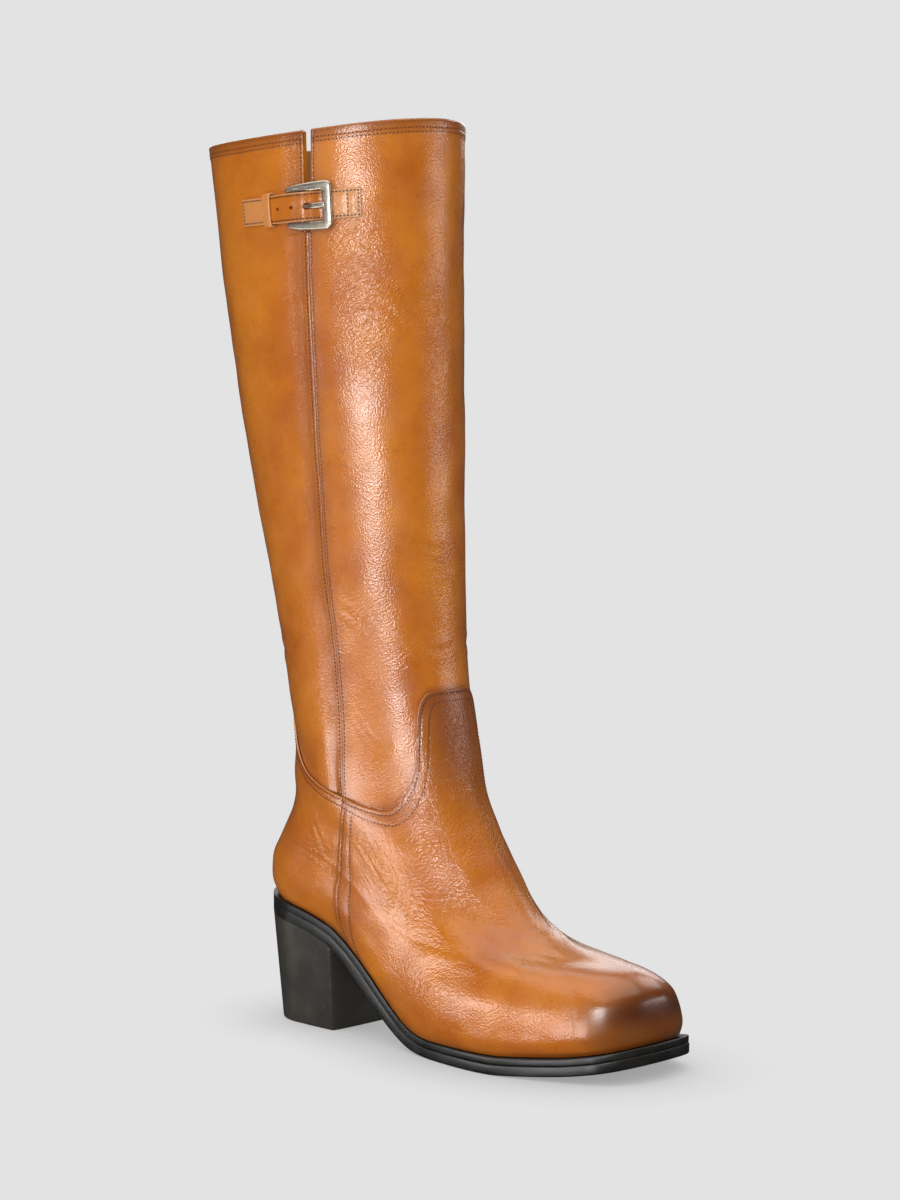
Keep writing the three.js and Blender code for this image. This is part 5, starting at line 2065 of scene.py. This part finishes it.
    def sew(self, rows: StitchRows, lines: Array, lift: Curve | None) -> None:
        """Adds the rows of a band.

        Args:
            rows: Stitches.
            lines: The band's rows in s and w.
            lift: How far it rises along the line, or None where it lies flat.
        """
        for (s0, w0), (s1, w1) in lines:
            count = max(8, int(math.hypot(s1 - s0, w1 - w0) / 0.5))
            s, w = np.linspace(s0, s1, count), np.linspace(w0, w1, count)
            rise = lift(s) if lift else np.full(count, GAP)
            line = self.place(s, w, rise + self.thick - 0.1)
            rows.add(line, self.place(s, w, rise + self.thick + 1.0) - line)

    def build(self, palette: Palette, rows: StitchRows) -> dict[str, Piece]:
        """Builds the five pieces and lays out their stitches.

        Args:
            palette: Finishes.
            rows: Stitches that the bands' own rows are added to.

        Returns:
            The pieces by name.
        """
        strap_rows, tab_rows = self.row_lines()
        strap = self.band(self.strap_ends, self.strap_half, self.lift_at, strap_rows, True)
        tab = self.band(self.tab_ends, self.tab_half, None, tab_rows, False)
        self.sew(rows, strap_rows, self.lift_at)
        self.sew(rows, tab_rows, None)
        return {
            "strap": strap.build("strap_leather", [palette.leather], 60.0),
            "buckle_tab": tab.build("buckle_tab_leather", [palette.leather], 60.0),
            "keeper": self.keeper().build("keeper_leather", [palette.leather], 60.0),
            "buckle_frame": self.buckle().build("buckle_frame_nickel", [palette.nickel], 60.0),
            "buckle_prong": self.prong().build("buckle_prong_nickel", [palette.nickel], 60.0),
        }


class LampRole(Enum):
    """What a lamp is for: even light on the leather's colour, or gleams on its polish."""

    FILL = "fill"
    GLEAM = "gleam"


@dataclass(frozen=True)
class Lamp:
    """A rectangular studio light, placed round the boot and aimed at it."""

    name: str
    azimuth: float
    distance: float
    height: float
    wide: float
    tall: float
    watts: float
    role: LampRole
    aim: float = 0.2

    def build(self) -> None:
        """Makes the light."""
        data = bpy.data.lights.new(self.name, "AREA")
        data.shape = "RECTANGLE"
        data.size, data.size_y = self.wide, self.tall
        data.energy = self.watts
        lamp = new_object(self.name, data)
        turn = math.radians(self.azimuth)
        lamp.location = (math.sin(turn) * self.distance, -math.cos(turn) * self.distance, self.height)
        way = Vector((0.0, 0.0, self.aim)) - lamp.location
        lamp.rotation_euler = way.to_track_quat("-Z", "Y").to_euler()
        lamp.visible_camera = False
        lamp.visible_diffuse = self.role is LampRole.FILL
        lamp.visible_glossy = self.role is LampRole.GLEAM


@dataclass
class Studio:
    """Pale floor, soft lights and the camera."""

    floor_radius: float = 30.0
    ambient: float = 0.32  # light of the surround on matt colour
    reflected: float = 0.04  # light of the surround in the polish, as black flags would leave it
    target: tuple[float, float, float] = (0.00225, 0.01118, 0.22171)
    azimuth: float = 44.0
    elevation: float = 5.91
    distance: float = 1.66213
    lens: float = 99.6
    lamps: tuple[Lamp, ...] = (
        Lamp("key_softbox", 22.0, 1.7, 0.8, 1.4, 1.5, 17.0, LampRole.FILL),
        Lamp("top_softbox", 60.0, 0.25, 1.7, 1.2, 1.2, 7.0, LampRole.FILL, 0.0),
        Lamp("low_softbox", 312.0, 1.2, -0.02, 0.8, 0.6, 1.5, LampRole.FILL, 0.1),
        Lamp("front_strip", 38.0, 1.2, 0.34, 0.42, 0.36, 7.4, LampRole.GLEAM, 0.34),
        Lamp("toe_strip", 18.0, 0.51, -0.02, 0.2, 0.18, 0.95, LampRole.GLEAM, -0.02),
        Lamp("vamp_strip", 337.0, 0.4, 0.03, 0.3, 0.12, 0.88, LampRole.GLEAM, 0.03),
        Lamp("seam_strip", 347.0, 2.2, 0.3, 0.3, 0.2, 1.7, LampRole.GLEAM, 0.3),
        Lamp("right_strip", 134.0, 2.2, 0.37, 1.2, 0.34, 4.6, LampRole.GLEAM, 0.37),
        Lamp("rear_softbox", 218.0, 3.0, 0.95, 2.2, 0.7, 14.0, LampRole.GLEAM, 0.0),
        Lamp("toe_softbox", 180.0, 1.6, 1.2, 0.9, 0.5, 4.0, LampRole.GLEAM, 0.0),
        Lamp("ceiling_softbox", 0.0, 0.0, 2.0, 3.0, 3.0, 48.0, LampRole.GLEAM, 0.0),
    )

    def build(self) -> Piece:
        """Builds the studio.

        Returns:
            The floor.
        """
        self.light()
        self.aim_camera()
        mesh = bpy.data.meshes.new("studio_floor")
        turn = np.linspace(0.0, TURN, 96, endpoint=False)
        ring = [(self.floor_radius * math.cos(a), self.floor_radius * math.sin(a), 0.0) for a in turn]
        mesh.from_pydata(ring, [], [list(range(len(ring)))])
        mesh.materials.append(StudioPaper().build())
        floor = new_object("studio_floor", mesh)
        floor.visible_glossy = False
        return floor

    def light(self) -> None:
        """Sets the surround and the lamps."""
        world = bpy.data.worlds.new("studio_air")
        world.use_nodes = True
        tree = world.node_tree
        tree.nodes.clear()
        seen = add_node(tree, "ShaderNodeBackground", {0: linear(PAPER_GREY), 1: 1.0})
        path = add_node(tree, "ShaderNodeLightPath").outputs
        level = {0: path["Is Glossy Ray"], 3: self.ambient, 4: self.reflected}
        level = add_node(tree, "ShaderNodeMapRange", level)
        felt = add_node(tree, "ShaderNodeBackground", {0: (1.0, 1.0, 1.0, 1.0), 1: level})
        both = add_node(tree, "ShaderNodeMixShader", {0: path["Is Camera Ray"], 1: felt, 2: seen})
        add_node(tree, "ShaderNodeOutputWorld", {"Surface": both})
        bpy.context.scene.world = world
        for lamp in self.lamps:
            lamp.build()
        bpy.context.scene.view_settings.view_transform = "Standard"

    def aim_camera(self) -> None:
        """Places the camera."""
        data = bpy.data.cameras.new("camera")
        data.lens = self.lens
        data.sensor_width = 36.0
        data.clip_end = 200.0
        camera = new_object("camera", data)
        turn, rise = math.radians(self.azimuth), math.radians(self.elevation)
        way = Vector((math.sin(turn) * math.cos(rise), -math.cos(turn) * math.cos(rise), math.sin(rise)))
        camera.location = Vector(self.target) + way * self.distance
        camera.rotation_euler = (-way).to_track_quat("-Z", "Y").to_euler()
        bpy.context.scene.camera = camera


def place_piece(piece: Piece, slot: Slot, *nodes: str) -> None:
    """Puts a piece on the frame.

    Args:
        piece: The piece.
        slot: Not used.
        *nodes: Nodes of the frame that it stands for.
    """
    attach(piece, Body.ROOT.value)
    if nodes:
        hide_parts(*nodes)
    mesh = piece.data
    mesh.calc_loop_triangles()
    LOG.info("%-22s %6d triangles", piece.name, len(mesh.loop_triangles))


def main() -> None:
    """Builds the boot on its frame, piece by piece, and the studio round it."""
    logging.basicConfig(level=logging.INFO, format="%(message)s", stream=sys.stdout)
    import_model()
    palette = Palette.make()
    rows = StitchRows()
    place_piece(Leg().build(palette, rows), Slot.LEATHER, "shaft")
    place_piece(Foot().build(palette, rows), Slot.LEATHER, "upper")
    slots = {
        "outsole": Slot.SOLE,
        "welt": Slot.SOLE,
        "heel": Slot.HEEL,
        "insole": Slot.LINING,
        "buckle_frame": Slot.NICKEL,
        "buckle_prong": Slot.NICKEL,
    }
    for node, piece in SoleUnit().build(palette).items():
        place_piece(piece, slots[node], node)
    small_rows = StitchRows(pitch=1.8, length=1.1, thick=0.6, seed=9)
    for node, piece in StrapSet().build(palette, small_rows).items():
        place_piece(piece, slots.get(node, Slot.LEATHER), node)
    place_piece(rows.build("seam_stitches", palette.thread), Slot.LEATHER)
    place_piece(small_rows.build("strap_stitches", palette.thread), Slot.LEATHER)
    Studio().build()


if __name__ == "__main__":
    main()
